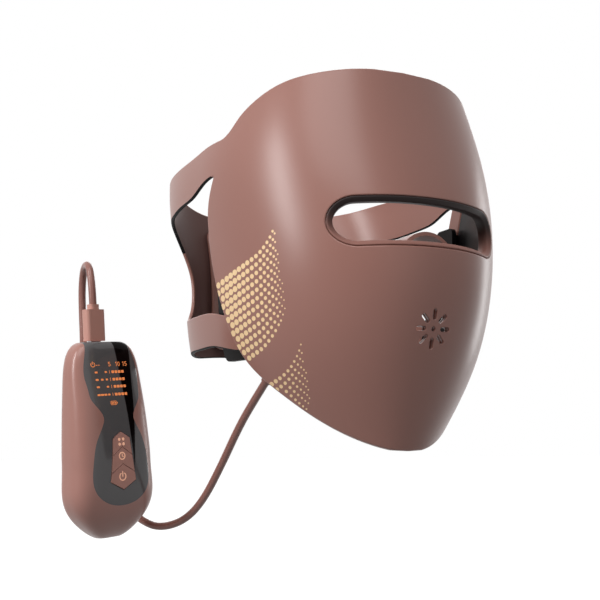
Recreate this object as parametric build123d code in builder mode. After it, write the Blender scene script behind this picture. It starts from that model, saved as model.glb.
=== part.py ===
from build123d import *
from functools import cache
from math import atan2, cos, degrees, hypot, pi, radians, sin, tan
import os

os.makedirs("parts", exist_ok=True)

# An led face mask with its head straps and its hand controller on a short cord.
# Millimetres. X runs to the viewer's right, -Y is the way the face looks, +Z is up.
# The origin is the middle of the head space, at the height of the eye slot.

# Head form that the mask and the straps follow
crown_height = 86.8
chin_drop = 115.8
half_width = 82.8
front_depth = 110.8
rear_depth = 108.0
rear_power = 3.0
form_points = 32
# Level, half width, front depth, rear depth as shares, and the front section's power
form_shares = (
    (-1.054, 0.464, 0.725, 0.722, 2.01),
    (-0.820, 0.690, 0.831, 0.796, 2.05),
    (-0.587, 0.851, 0.924, 0.852, 2.09),
    (-0.345, 0.931, 0.989, 0.838, 2.13),
    (-0.104, 0.970, 1.000, 0.833, 2.17),
    (0.184, 1.000, 0.948, 0.889, 2.21),
    (0.507, 0.992, 0.864, 0.991, 2.25),
    (0.829, 0.918, 0.780, 1.093, 2.29),
    (1.106, 0.820, 0.713, 1.148, 2.33),
)

# Layers of the mask, from the outside in
shell_wall = 1.8
rim_thickness = 4.0
layer_gap = 0.1
flex_thickness = 0.3
lens_thickness = 0.9
lens_edge_gap = 0.3
bead_size = 3.0
bead_height = 0.4
bead_row_pitch = 15.0
bead_column_pitch = 15.5
bead_edge_margin = 18.0
bead_half_columns = 6

# Eye slot and its bevelled rim
slot_half_length = 51.7
slot_half_height = 13.1
slot_end_start = 39.2
slot_end_top = 12.2
slot_end_bottom = 13.9
slot_end_mid = 1.0
slot_bevel = 3.0
slot_bevel_size = 2.0
slot_rim_depth = 7.0
slot_land = 4.0

# Vent at the mouth
vent_height = -54.0
vent_hole = 2.4
vent_slots = 8
vent_slot_width = 2.2
vent_slot_length = 5.6
vent_slot_radius = 7.2
vent_land_radius = 13.5

# Nose flap behind the slot's lower lip
nose_peak = -4.0
nose_foot = -27.0
nose_half_width = 17.0
nose_back = 87.0
nose_wall = 2.0

# Straps, hinge lines and closures
strap_thickness = 2.0
strap_tuck = 4.4
tuck_start = 20.0
tuck_run = 50.0
hinge_back = 17.5
hinge_gap = 0.3
strap_lap_inset = 3.6
tail_round = 9.0
outer_tail_end = 28.0
outer_tail_top = 39.5
outer_tail_bottom = 58.5
inner_tail_end = 40.0
inner_tail_top = 28.5
inner_tail_bottom = 52.0
lap_step_start = 25.0
lap_step_width = 15.0
lap_step_rise = 23.5
lap_step_drop = 8.0
pad_thickness = 0.55
pad_seat = 0.05
pad_length = 48.0
pad_height = 46.0
pad_shift = 6.0
pad_drop = 3.0
pad_round = 5.0

# Side anchor plates and the nape tabs that they clamp
anchor_outer = 6.7
anchor_thickness = 3.0
anchor_round = 4.0
anchor_foot_front = 24.0
anchor_foot_back = 16.0
anchor_foot_top = 14.0
anchor_foot_bottom = 34.0
tab_front = 34.0
tab_round = 5.0

# Connector pod, strain relief and cord
cord_diameter = 4.4
relief_length = 14.0
relief_root = 3.0
relief_base_radius = 3.9
relief_tip_radius = 2.9
pod_length = 18.0
pod_width = 13.0
pod_round = 4.0
pod_wall = 1.4
pod_depth = 10.0
pod_board_length = 14.4
pod_board_width = 7.0
pod_board_thickness = 1.0
loop_drop = 11.0
bend_share = 0.45

# Controller: place, turn and lean
controller_place = (-118.3, 52.0, -109.4)
controller_turn = 18.0
controller_lean = 4.5
controller_length = 111.5
controller_half_width = 27.0
controller_front_depth = 17.0
controller_back_depth = 10.0
controller_power = 3.4
controller_points = 28
# Level, half width, front depth and back depth as shares
controller_shares = (
    (-0.487, 0.278, 0.271, 0.420),
    (-0.472, 0.396, 0.412, 0.550),
    (-0.430, 0.619, 0.647, 0.800),
    (-0.350, 0.896, 0.882, 0.940),
    (-0.233, 1.000, 0.994, 1.000),
    (-0.090, 0.970, 1.000, 1.000),
    (0.126, 0.926, 0.894, 1.000),
    (0.323, 0.867, 0.665, 0.980),
    (0.422, 0.796, 0.560, 0.940),
    (0.475, 0.680, 0.470, 0.860),
    (0.502, 0.505, 0.330, 0.740),
)
case_wall = 2.2
case_parting = 5.0
case_joint_gap = 0.05

# Window on the controller
window_thickness = 1.2
window_gap = 0.05
window_back = 0.5
# Right half of the window's outline, as shares of the half width and the length
window_shares = (
    (0.500, 0.560),
    (0.565, 0.470),
    (0.650, 0.395),
    (0.677, 0.322),
    (0.642, 0.262),
    (0.612, 0.215),
    (0.489, 0.169),
    (0.377, 0.113),
    (0.437, 0.071),
    (0.578, 0.005),
    (0.685, -0.112),
    (0.648, -0.246),
    (0.344, -0.308),
)
window_foot_share = -0.323
display_aperture_width = 25.0
display_aperture_height = 26.0
display_aperture_level = 31.0

# Buttons, from the top down the column: mode, timer, power
button_gap = 0.3
button_proud = 0.3
button_stem_depth = 12.5
column_top = 5.0
column_bottom = -27.4
column_top_half = 5.7
column_upper_half = 6.75
column_lower_half = 7.95
column_bottom_half = 8.7
column_shoulder = 1.4
upper_chevron_peak = -3.5
upper_chevron_end = -8.4
lower_chevron_peak = -13.0
lower_chevron_end = -18.0
column_hip = -22.5

# Boards, battery and sockets in the controller
board_thickness = 1.2
board_clearance = 0.2
main_board_front = 1.9
main_board_half_length = 47.5
button_board_front = -11.2
button_board_width = 36.0
button_board_top = 8.0
button_board_bottom = -29.0
display_board_front = -6.5
display_board_width = 25.0
display_board_top = 46.0
display_board_bottom = 16.0
dome_radius = 2.6
dome_height = 0.6
dome_taper = 30.0
dome_levels = (0.7, -8.3, -19.5)
spacer_radius = 1.4
display_spacer_reach = 10.8
button_spacer_reach = 15.8
spacer_inset = 3.0
led_length = 2.2
led_width = 1.2
led_height = 0.7
led_columns = 4
led_rows = 5
led_column_pitch = 5.6
led_row_pitch = 4.4
battery_width = 26.0
battery_length = 40.0
battery_thickness = 7.4
battery_level = -25.0
battery_back = 1.5
battery_round = 3.0
socket_width = 8.94
socket_height = 3.26
socket_length = 7.3
socket_wall = 0.3
socket_hole_gap = 0.1
output_socket_depth = 5.0
charge_socket_depth = 0.2

# Case screws and their bosses
screw_reach = 16.0
screw_top_level = 30.0
screw_bottom_level = -36.5
screw_head_radius = 2.1
screw_head_height = 1.4
screw_shank_radius = 1.1
screw_length = 9.0
screw_gap = 0.1
boss_radius = 2.6
boss_board_gap = 0.2
boss_root = 1.0
screw_seat = 6.0
seat_radius = 3.4

# Plug
plug_seat_gap = 1.0
plug_width = 12.8
plug_depth = 6.5
plug_length = 18.2
plug_round = 2.2
nub_width = 6.4
nub_depth = 5.4
nub_length = 3.0
nub_round = 2.0
tip_width = 8.2
tip_depth = 2.4
tip_length = 7.0
tip_round = 1.1

# One generous reach for cuts and for shapes that are trimmed
reach = 200.0


def level_height(share):
    return share * (crown_height if share > 0 else chin_drop)


def side_depth(share):
    return share * (rear_depth if share > 0 else front_depth)


def side_point(depth_share, height_share):
    return (side_depth(depth_share), level_height(height_share))


def section_point(angle, width, front, rear, front_power, back_power):
    c = cos(angle)
    s = sin(angle)
    power = front_power if s < 0 else back_power
    depth = front if s < 0 else rear
    x = width * abs(c) ** (2 / power) * (1 if c > 0 else -1)
    y = depth * abs(s) ** (2 / power) * (1 if s > 0 else -1)
    return (x, y)


def section_points(count, width, front, rear, front_power, back_power):
    angles = [pi / 2 + 2 * pi * i / count for i in range(count)]
    return [section_point(a, width, front, rear, front_power, back_power) for a in angles]


@cache
def head_form(inset=0.0, rear_inset=0.0, tuck=0.0):
    """Closed head shape, drawn in by an inset, and below the ears also by a tuck."""
    with BuildPart() as form:
        for level, width, front, rear, power in form_shares:
            z = level_height(level)
            drawn_in = inset + tuck * min(1, max(0, (tuck_start - z) / tuck_run))
            with BuildSketch(Plane.XY.offset(z)):
                with BuildLine():
                    Spline(
                        section_points(
                            form_points,
                            width * half_width - drawn_in,
                            front * front_depth - drawn_in,
                            rear * rear_depth - inset - rear_inset,
                            power,
                            rear_power,
                        ),
                        periodic=True,
                    )
                make_face()
        loft()
    return form.part


# Side view of the mask: the upper edge, then the edge by the ear down to the chin
top_edge_shares = (
    (-0.749, 1.000),
    (-0.653, 0.967),
    (-0.505, 0.915),
    (-0.375, 0.820),
    (-0.298, 0.733),
    (-0.246, 0.655),
    (-0.205, 0.628),
)
side_edge_shares = (
    (-0.100, 0.200),
    (-0.092, 0.030),
    (-0.119, -0.205),
    (-0.173, -0.366),
    (-0.278, -0.590),
    (-0.428, -0.744),
    (-0.581, -0.882),
    (-0.758, -1.000),
)
root_top_share = 0.622
root_bottom_share = 0.394
ear_notch_share = 0.387
tab_top_share = -0.365
tab_bottom_share = -0.531

shell_hinge = -hinge_back - hinge_gap / 2
strap_hinge = -hinge_back + hinge_gap / 2


# Side view of the pocket behind the shell, a rim's width inside the mask's edge
pocket_top_shares = (
    (-0.767, 0.862),
    (-0.686, 0.835),
    (-0.615, 0.814),
    (-0.555, 0.791),
    (-0.502, 0.760),
    (-0.448, 0.717),
    (-0.400, 0.669),
    (-0.364, 0.616),
    (-0.269, 0.511),
)
pocket_side_shares = (
    (-0.247, 0.306),
    (-0.203, 0.137),
    (-0.205, -0.068),
    (-0.239, -0.231),
    (-0.303, -0.405),
    (-0.378, -0.546),
    (-0.504, -0.671),
    (-0.645, -0.798),
    (-0.786, -0.897),
)
pocket_middle_share = (-0.75, -0.10)

with BuildSketch(Plane.YZ) as mask_face:
    with BuildLine():
        top = [side_point(*share) for share in top_edge_shares]
        side = [side_point(*share) for share in side_edge_shares]
        root_top = (shell_hinge, level_height(root_top_share))
        root_bottom = (shell_hinge, level_height(ear_notch_share))
        Line((-reach, crown_height), top[0])
        Spline(top + [root_top])
        Line(root_top, root_bottom)
        Spline([root_bottom] + side)
        Line(side[-1], (-reach, -chin_drop))
        Line((-reach, -chin_drop), (-reach, crown_height))
    make_face()


def pocket_block(gap):
    """Bar through the mask from side to side, with the pocket's outline less a gap."""
    middle = Vector(*side_point(*pocket_middle_share))
    chains = []
    for shares in (pocket_top_shares, pocket_side_shares):
        points = [Vector(*side_point(*share)) for share in shares]
        chains.append([point + (middle - point).normalized() * gap for point in points])
    top, side = chains
    with BuildPart() as block:
        with BuildSketch(Plane.YZ):
            with BuildLine():
                Line((-reach, top[0].Y), top[0])
                Spline(top)
                Line(top[-1], side[0])
                Spline(side)
                Line(side[-1], (-reach, side[-1].Y))
                Line((-reach, side[-1].Y), (-reach, top[0].Y))
            make_face()
        extrude(amount=reach, both=True)
    return block.part


def slot_prism(grow):
    """Eye slot as a bar through the face, grown or shrunk all round."""
    side = slot_end_start
    top = slot_end_top + grow
    bottom = -slot_end_bottom - grow
    with BuildPart() as bar:
        with BuildSketch(Plane.XZ):
            with BuildLine():
                ThreePointArc((-side, top), (0, slot_half_height + grow), (side, top))
                ThreePointArc((side, top), (slot_half_length + grow, -slot_end_mid), (side, bottom))
                ThreePointArc((side, bottom), (0, -slot_half_height - grow), (-side, bottom))
                ThreePointArc((-side, bottom), (-slot_half_length - grow, -slot_end_mid), (-side, top))
            make_face()
        extrude(amount=reach)
    return bar.part


def vent_land(radius):
    with BuildPart() as land:
        with BuildSketch(Plane.XZ):
            with Locations((0, vent_height)):
                Circle(radius)
        extrude(amount=reach)
    return land.part


# Vent openings: a ring of rounded slots round a small hole
with BuildPart() as vent_cutter:
    with BuildSketch(Plane.XZ):
        with Locations((0, vent_height)):
            Circle(vent_hole / 2)
            with PolarLocations(vent_slot_radius, vent_slots):
                SlotOverall(vent_slot_length, vent_slot_width)
    extrude(amount=reach)

# Pocket in the face shell for the circuit and the lens
with BuildPart() as pocket:
    add(pocket_block(0.0))
    add(head_form(shell_wall), mode=Mode.INTERSECT)
    add(slot_prism(slot_land), mode=Mode.SUBTRACT)
    add(vent_land(vent_land_radius), mode=Mode.SUBTRACT)

# Face shell of soft silicone
with BuildPart() as face_shell:
    extrude(mask_face.sketch, amount=reach, both=True)
    add(head_form(), mode=Mode.INTERSECT)
    add(head_form(rim_thickness), mode=Mode.SUBTRACT)
    add(pocket.part, mode=Mode.SUBTRACT)
    add(slot_prism(0.0), mode=Mode.SUBTRACT)
    add(vent_cutter.part, mode=Mode.SUBTRACT)
face_shell.part.label = "face_shell"
export_step(face_shell.part, "parts/face_shell.step")

# Flexible circuit behind the shell
flex_inset = shell_wall + layer_gap
with BuildPart() as flex_circuit:
    add(pocket_block(lens_edge_gap))
    add(head_form(flex_inset), mode=Mode.INTERSECT)
    add(head_form(flex_inset + flex_thickness), mode=Mode.SUBTRACT)
    add(slot_prism(slot_land + lens_edge_gap), mode=Mode.SUBTRACT)
    add(vent_land(vent_land_radius + lens_edge_gap), mode=Mode.SUBTRACT)
flex_circuit.part.label = "flex_circuit"
export_step(flex_circuit.part, "parts/flex_circuit.step")

# Dark inner lens that covers the leds
lens_inset = rim_thickness - lens_thickness
with BuildPart() as inner_lens:
    add(pocket_block(lens_edge_gap))
    add(head_form(lens_inset), mode=Mode.INTERSECT)
    add(head_form(rim_thickness), mode=Mode.SUBTRACT)
    add(slot_prism(slot_land + lens_edge_gap), mode=Mode.SUBTRACT)
    add(vent_land(vent_land_radius + lens_edge_gap), mode=Mode.SUBTRACT)
inner_lens.part.label = "inner_lens"
export_step(inner_lens.part, "parts/inner_lens.step")


def blend_share(height, column):
    """Value of one column of the form's table at a height, along straight lines."""
    rows = [(level_height(row[0]), row[column]) for row in form_shares]
    for (low, a), (high, b) in zip(rows, rows[1:]):
        if low <= height <= high:
            return a + (b - a) * (height - low) / (high - low)
    return rows[-1][1]


def form_point(angle, height, inset):
    """Point on the inset head form, by its angle and its height."""
    width = blend_share(height, 1) * half_width - inset
    front = blend_share(height, 2) * front_depth - inset
    rear = blend_share(height, 3) * rear_depth - inset
    x, y = section_point(angle, width, front, rear, blend_share(height, 4), rear_power)
    return Vector(x, y, height)


def edge_depth(height):
    """How far back the mask's edge lies at a height."""
    edge = [side_point(*share) for share in reversed(side_edge_shares)]
    edge += [(shell_hinge, level_height(root_bottom_share))]
    edge += [side_point(*share) for share in reversed(top_edge_shares)]
    for (back_low, low), (back_high, high) in zip(edge, edge[1:]):
        if low <= height <= high:
            return back_low + (back_high - back_low) * (height - low) / (high - low)
    return -front_depth


def bead_places():
    places = []
    rows = int((crown_height + chin_drop - 2 * bead_edge_margin) / bead_row_pitch)
    for row in range(rows + 1):
        height = bead_edge_margin - chin_drop + row * bead_row_pitch
        for column in range(-bead_half_columns, bead_half_columns + 1):
            width = blend_share(height, 1) * half_width
            angle = -pi / 2 + column * bead_column_pitch / width
            place = form_point(angle, height, flex_inset + flex_thickness + layer_gap)
            in_slot = abs(place.X) < slot_half_length + 2 * slot_land
            in_slot = in_slot and abs(height) < slot_end_bottom + 2 * slot_land
            in_vent = hypot(place.X, height - vent_height) < vent_land_radius + bead_size
            if place.Y > edge_depth(height) - bead_edge_margin or in_slot or in_vent:
                continue
            places.append((angle, height))
    return places


# Led beads in the layer between the circuit and the lens
bead_ground = head_form(flex_inset + flex_thickness + layer_gap)
bead_room = pocket_block(2 * bead_size).solid()
bead_planes = []
for angle, height in bead_places():
    ray = Axis((0, 0, height), (cos(angle), sin(angle), 0))
    point, normal = bead_ground.find_intersection_points(ray)[-1]
    if not bead_room.is_inside(point):
        continue
    level = Vector(0, 0, 1).cross(normal)
    bead_planes.append(Plane(origin=point - normal * layer_gap, x_dir=level, z_dir=-normal))
with BuildPart() as led_beads:
    with Locations(*bead_planes):
        Box(bead_size, bead_size, bead_height, align=(Align.CENTER, Align.CENTER, Align.MIN))
led_beads.part.label = "led_beads"
export_step(led_beads.part, "parts/led_beads.step")

# Bevelled rim of the eye slot
with BuildPart() as eye_slot_rim:
    add(slot_prism(-layer_gap))
    add(head_form(), mode=Mode.INTERSECT)
    add(head_form(slot_rim_depth), mode=Mode.SUBTRACT)
    add(slot_prism(-slot_bevel), mode=Mode.SUBTRACT)
    front_ring = eye_slot_rim.faces().sort_by(Axis.Y)[0]
    chamfer(front_ring.inner_wires()[0].edges(), length=slot_bevel_size)
eye_slot_rim.part.label = "eye_slot_rim"
export_step(eye_slot_rim.part, "parts/eye_slot_rim.step")


# Nose flap: a saddle behind the slot's lower lip
with BuildPart() as nose_lip_space:
    add(slot_prism(layer_gap))
    add(head_form(slot_rim_depth + layer_gap), mode=Mode.SUBTRACT)
with BuildPart() as nose_rest:
    with BuildSketch(Plane.XZ.offset(nose_back)):
        for inward in (0, nose_wall):
            foot = nose_half_width - inward
            with BuildLine():
                ThreePointArc((-foot, nose_foot), (0, nose_peak - inward), (foot, nose_foot))
                Line((foot, nose_foot), (-foot, nose_foot))
            make_face(mode=Mode.SUBTRACT if inward else Mode.ADD)
    extrude(amount=front_depth - nose_back)
    add(head_form(rim_thickness + layer_gap), mode=Mode.INTERSECT)
    add(nose_lip_space.part, mode=Mode.SUBTRACT)
nose_rest.part.label = "nose_rest"
export_step(nose_rest.part, "parts/nose_rest.step")

# Side anchor plates inside the edges by the ears, each on a foot against the shell
anchor_shares = ((-0.226, 0.207), (-0.063, 0.207), (0.028, -0.570), (-0.226, -0.570), (-0.289, -0.500))
with BuildPart() as side_anchor_left:
    with BuildSketch(Plane.YZ) as anchor_face:
        Polygon(*[side_point(*share) for share in anchor_shares], align=None)
        fillet(anchor_face.vertices(), radius=anchor_round)
    extrude(amount=reach)
    add(head_form(anchor_outer), mode=Mode.INTERSECT)
    add(head_form(anchor_outer + anchor_thickness), mode=Mode.SUBTRACT)
with BuildPart() as anchor_foot:
    with BuildSketch(Plane.YZ):
        with Locations((-anchor_foot_front, -anchor_foot_bottom)):
            Rectangle(
                anchor_foot_front - anchor_foot_back,
                anchor_foot_top + anchor_foot_bottom,
                align=Align.MIN,
            )
    extrude(amount=reach)
    add(head_form(rim_thickness + layer_gap), mode=Mode.INTERSECT)
    add(head_form(anchor_outer), mode=Mode.SUBTRACT)
with side_anchor_left:
    add(anchor_foot.part)
side_anchor_left.part.label = "side_anchor_left"
export_step(side_anchor_left.part, "parts/side_anchor_left.step")

with BuildPart() as side_anchor_right:
    add(side_anchor_left.part)
    mirror(about=Plane.YZ, mode=Mode.REPLACE)
side_anchor_right.part.label = "side_anchor_right"
export_step(side_anchor_right.part, "parts/side_anchor_right.step")

# Nape tabs, held between the shell and the anchor plates
with BuildPart() as nape_tab_left:
    with BuildSketch(Plane.YZ) as tab_face:
        tab_top = level_height(tab_top_share)
        tab_bottom = level_height(tab_bottom_share)
        with Locations((-tab_front, tab_bottom)):
            Rectangle(tab_front + shell_hinge, tab_top - tab_bottom, align=Align.MIN)
        fillet(tab_face.vertices().sort_by(Axis.X)[:2], radius=tab_round)
    extrude(amount=reach)
    add(head_form(0.0, 0.0, strap_tuck), mode=Mode.INTERSECT)
    add(head_form(strap_thickness, 0.0, strap_tuck), mode=Mode.SUBTRACT)
nape_tab_left.part.label = "nape_tab_left"
export_step(nape_tab_left.part, "parts/nape_tab_left.step")

with BuildPart() as nape_tab_right:
    add(nape_tab_left.part)
    mirror(about=Plane.YZ, mode=Mode.REPLACE)
nape_tab_right.part.label = "nape_tab_right"
export_step(nape_tab_right.part, "parts/nape_tab_right.step")

# Side view of the straps: temple band, back panel and nape band round the ear gap
strap_top_shares = (
    (-0.023, 0.613),
    (0.102, 0.593),
    (0.259, 0.578),
    (0.454, 0.568),
    (0.648, 0.553),
    (0.787, 0.524),
    (0.889, 0.484),
    (0.944, 0.426),
    (1.037, 0.392),
)
strap_bottom_shares = (
    (1.037, -0.484),
    (0.852, -0.488),
    (0.750, -0.505),
    (0.565, -0.501),
    (0.269, -0.497),
    (0.079, -0.497),
    (-0.069, -0.518),
)
ear_gap_shares = (
    (-0.085, -0.356),
    (0.028, -0.337),
    (0.231, -0.330),
    (0.491, -0.329),
    (0.595, -0.313),
    (0.673, -0.246),
    (0.702, -0.162),
    (0.715, -0.073),
    (0.713, 0.009),
    (0.697, 0.108),
    (0.648, 0.212),
    (0.574, 0.253),
    (0.454, 0.265),
    (0.324, 0.279),
    (0.194, 0.293),
    (0.093, 0.311),
    (0.028, 0.338),
    (-0.054, 0.372),
    (-0.117, 0.387),
)
root_inner_share = 0.391

with BuildSketch(Plane.YZ) as strap_face:
    with BuildLine():
        top = [side_point(*share) for share in strap_top_shares]
        bottom = [side_point(*share) for share in strap_bottom_shares]
        gap = [side_point(*share) for share in ear_gap_shares]
        temple_top = (strap_hinge, level_height(root_top_share))
        temple_bottom = (strap_hinge, level_height(root_inner_share))
        nape_top = (strap_hinge, level_height(tab_top_share))
        nape_bottom = (strap_hinge, level_height(tab_bottom_share))
        Spline([temple_top] + top)
        Line(top[-1], bottom[0])
        Spline(bottom + [nape_bottom])
        Line(nape_bottom, nape_top)
        Spline([nape_top] + gap + [temple_bottom])
        Line(temple_bottom, temple_top)
    make_face()

# Right strap, the outer one at the back
with BuildPart() as strap_right:
    with BuildSketch(Plane.XZ) as outer_tail:
        corner = outer_tail_end - tail_round - strap_thickness
        Polygon(
            (-reach, -reach),
            (corner, -reach),
            (corner, -outer_tail_bottom),
            (outer_tail_end, -outer_tail_bottom),
            (outer_tail_end, outer_tail_top),
            (corner, outer_tail_top),
            (corner, reach),
            (-reach, reach),
            align=None,
        )
        fillet(outer_tail.vertices().sort_by(Axis.X)[-2:], radius=tail_round)
    extrude(amount=reach, both=True)
    extrude(strap_face.sketch, amount=reach, both=True, mode=Mode.INTERSECT)
    add(head_form(0.0, 0.0, strap_tuck), mode=Mode.INTERSECT)
    add(head_form(strap_thickness, 0.0, strap_tuck), mode=Mode.SUBTRACT)
strap_right.part.label = "strap_right"
export_step(strap_right.part, "parts/strap_right.step")

# Left strap, whose tail runs under the right one
with BuildPart() as strap_left:
    with BuildSketch(Plane.XZ) as inner_tail:
        step_end = lap_step_start + lap_step_width
        Polygon(
            (-inner_tail_end, -inner_tail_bottom),
            (lap_step_start, -inner_tail_bottom),
            (step_end, -inner_tail_bottom - lap_step_drop),
            (step_end, -reach),
            (reach, -reach),
            (reach, reach),
            (step_end, reach),
            (step_end, inner_tail_top + lap_step_rise),
            (lap_step_start, inner_tail_top),
            (-inner_tail_end, inner_tail_top),
            align=None,
        )
        fillet(inner_tail.vertices().sort_by(Axis.X)[:2], radius=tail_round)
    extrude(amount=reach, both=True)
    extrude(strap_face.sketch, amount=reach, both=True, mode=Mode.INTERSECT)
    add(head_form(0.0, strap_lap_inset, strap_tuck), mode=Mode.INTERSECT)
    add(head_form(strap_thickness, strap_lap_inset, strap_tuck), mode=Mode.SUBTRACT)
strap_left.part.label = "strap_left"
export_step(strap_left.part, "parts/strap_left.step")

# Loop pad on the right strap, hook pad on the left one
with BuildPart() as loop_pad:
    with BuildSketch(Plane.XZ):
        with Locations((-pad_shift, -pad_drop)):
            RectangleRounded(pad_length, pad_height, pad_round)
    extrude(amount=-reach)
    add(head_form(strap_thickness + pad_seat, 0.0, strap_tuck), mode=Mode.INTERSECT)
    add(head_form(strap_thickness + pad_thickness, 0.0, strap_tuck), mode=Mode.SUBTRACT)
loop_pad.part.label = "loop_pad"
export_step(loop_pad.part, "parts/loop_pad.step")

with BuildPart() as hook_pad:
    with BuildSketch(Plane.XZ):
        with Locations((-pad_shift, -pad_drop)):
            RectangleRounded(pad_length, pad_height, pad_round)
    extrude(amount=-reach)
    add(head_form(0.0, strap_lap_inset - pad_thickness, strap_tuck), mode=Mode.INTERSECT)
    add(head_form(0.0, strap_lap_inset - pad_seat, strap_tuck), mode=Mode.SUBTRACT)
hook_pad.part.label = "hook_pad"
export_step(hook_pad.part, "parts/hook_pad.step")

# Controller's own directions
case_front_way = Vector(sin(radians(controller_turn)), -cos(radians(controller_turn)), 0)
case_up = Vector(0, 0, 1).rotate(Axis((0, 0, 0), case_front_way), controller_lean)
case_level = Plane(origin=controller_place, x_dir=case_up.cross(case_front_way), z_dir=case_up)
case_face = Plane(origin=controller_place, x_dir=case_level.x_dir, z_dir=case_front_way)
case_top = controller_shares[-1][0] * controller_length
case_bottom = controller_shares[0][0] * controller_length
plug_bottom = case_top + plug_seat_gap
plug_top = plug_bottom + plug_length + nub_length

# Cord path: share of the half width, of the depth and of the height
cord_shares = (
    (-0.6715, -0.2708, -0.6744),
    (-0.7017, -0.1264, -0.7979),
    (-0.7198, -0.0108, -0.9076),
    (-0.7379, 0.1361, -1.0596),
    (-0.7742, 0.3167, -1.2444),
    (-0.8454, 0.4463, -1.3480),
    (-0.9614, 0.5741, -1.3877),
    (-1.0556, 0.6602, -1.3558),
    (-1.1787, 0.7278, -1.2651),
    (-1.3092, 0.7657, -1.0967),
    (-1.4130, 0.7657, -0.8921),
    (-1.4771, 0.7426, -0.6632),
    (-1.4879, 0.7370, -0.4318),
    (-1.4976, 0.7463, -0.2936),
    (-1.5085, 0.7407, -0.1606),
    (-1.5217, 0.6778, -0.0596),
    (-1.5338, 0.5574, -0.0596),
)
cord_points = [Vector(x * half_width, side_depth(y), level_height(z)) for x, y, z in cord_shares]
cord_end = case_level.from_local_coords(Vector(0, output_socket_depth, plug_top))
cord_points += [cord_end + case_up * loop_drop, cord_end]
cord_start = cord_points[0]
cord_way = (cord_points[1] - cord_start).normalized()

# Each bend's radius, from the shorter of its two runs
cord_radii = []
for before, corner, after in zip(cord_points, cord_points[1:], cord_points[2:]):
    half_turn = radians((corner - before).get_angle(after - corner)) / 2
    shorter_run = min((corner - before).length, (after - corner).length)
    cord_radii.append(bend_share * shorter_run / tan(half_turn))
print("cord runs", [round((b - a).length, 1) for a, b in zip(cord_points, cord_points[1:])])
print("cord radii", [round(radius, 1) for radius in cord_radii])

with BuildPart() as cord:
    with BuildLine() as cord_line:
        FilletPolyline(*cord_points, radius=cord_radii)
    with BuildSketch(Plane(origin=cord_start, z_dir=cord_way)):
        Circle(cord_diameter / 2)
    sweep(path=cord_line.wire())
cord_section = pi * cord_diameter**2 / 4
print("cord volume", round(cord.part.volume), "of", round(cord_section * cord_line.wire().length))
cord.part.label = "cord"
export_step(cord.part, "parts/cord.step")

# Connector pod inside the jaw, its board and the strain relief
relief_base = cord_start - cord_way * relief_length
pod_place = relief_base - cord_way * pod_length / 2
pod_turn = degrees(atan2(cord_way.Z, cord_way.Y))


def pod_block(shrink):
    with BuildPart() as block:
        with BuildSketch(Plane.YZ):
            with Locations((pod_place.Y, pod_place.Z)):
                RectangleRounded(
                    pod_length - 2 * shrink,
                    pod_width - 2 * shrink,
                    pod_round - shrink,
                    rotation=pod_turn,
                )
        extrude(amount=-reach)
        add(head_form(rim_thickness + layer_gap + shrink), mode=Mode.INTERSECT)
        add(head_form(rim_thickness + layer_gap + pod_depth - shrink), mode=Mode.SUBTRACT)
    return block.part


with BuildPart() as connector_pod:
    add(pod_block(0.0))
    add(pod_block(pod_wall), mode=Mode.SUBTRACT)
connector_pod.part.label = "connector_pod"
export_step(connector_pod.part, "parts/connector_pod.step")


def jaw_point(depth, height, inset):
    """Point on the right side of the inset head form, in front of the ears."""
    width = blend_share(height, 1) * half_width - inset
    front = blend_share(height, 2) * front_depth - inset
    power = blend_share(height, 4)
    x = width * (1 - (abs(depth) / front) ** power) ** (1 / power)
    return Vector(-x, depth, height)


pod_middle = rim_thickness + pod_depth / 2
pod_back = jaw_point(pod_place.Y + bead_size, pod_place.Z, pod_middle)
pod_front = jaw_point(pod_place.Y - bead_size, pod_place.Z, pod_middle)
pod_over = jaw_point(pod_place.Y, pod_place.Z + bead_size, pod_middle)
pod_under = jaw_point(pod_place.Y, pod_place.Z - bead_size, pod_middle)
pod_normal = (pod_back - pod_front).cross(pod_over - pod_under).normalized()
pod_along = cord_way - pod_normal * pod_normal.dot(cord_way)
with BuildPart() as connector_board:
    centre = jaw_point(pod_place.Y, pod_place.Z, pod_middle)
    with Locations(Plane(origin=centre, x_dir=pod_along, z_dir=pod_normal)):
        Box(pod_board_length, pod_board_width, pod_board_thickness)
connector_board.part.label = "connector_board"
export_step(connector_board.part, "parts/connector_board.step")

with BuildPart() as strain_relief:
    with BuildSketch(Plane(origin=relief_base - cord_way * relief_root, z_dir=cord_way)):
        Circle(relief_base_radius)
    with BuildSketch(Plane(origin=cord_start, z_dir=cord_way)):
        Circle(relief_tip_radius)
    loft()
    add(pod_block(0.0), mode=Mode.SUBTRACT)
strain_relief.part.label = "strain_relief"
export_step(strain_relief.part, "parts/strain_relief.step")


@cache
def case_form(inset=0.0):
    """Closed body of the controller, drawn in all round by an inset."""
    with BuildPart() as form:
        for level, width, front, back in controller_shares:
            with BuildSketch(case_level.offset(level * (controller_length - 2 * inset))):
                with BuildLine():
                    Spline(
                        section_points(
                            controller_points,
                            width * controller_half_width - inset,
                            front * controller_front_depth - inset,
                            back * controller_back_depth - inset,
                            controller_power,
                            controller_power,
                        ),
                        periodic=True,
                    )
                make_face()
        loft()
    return form.part


def depth_plane(depth):
    """Plane across the controller, a depth behind its middle, that faces its front."""
    return case_face.offset(-depth)


# Front view of the window, on the plane of its back edge
with BuildSketch(depth_plane(-window_back)) as window_face:
    right = [(x * controller_half_width, z * controller_length) for x, z in window_shares]
    left = [(-x, z) for x, z in reversed(right)]
    with BuildLine():
        Spline(right + [(0, window_foot_share * controller_length)] + left)
        Line(left[-1], right[0])
    make_face()


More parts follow.
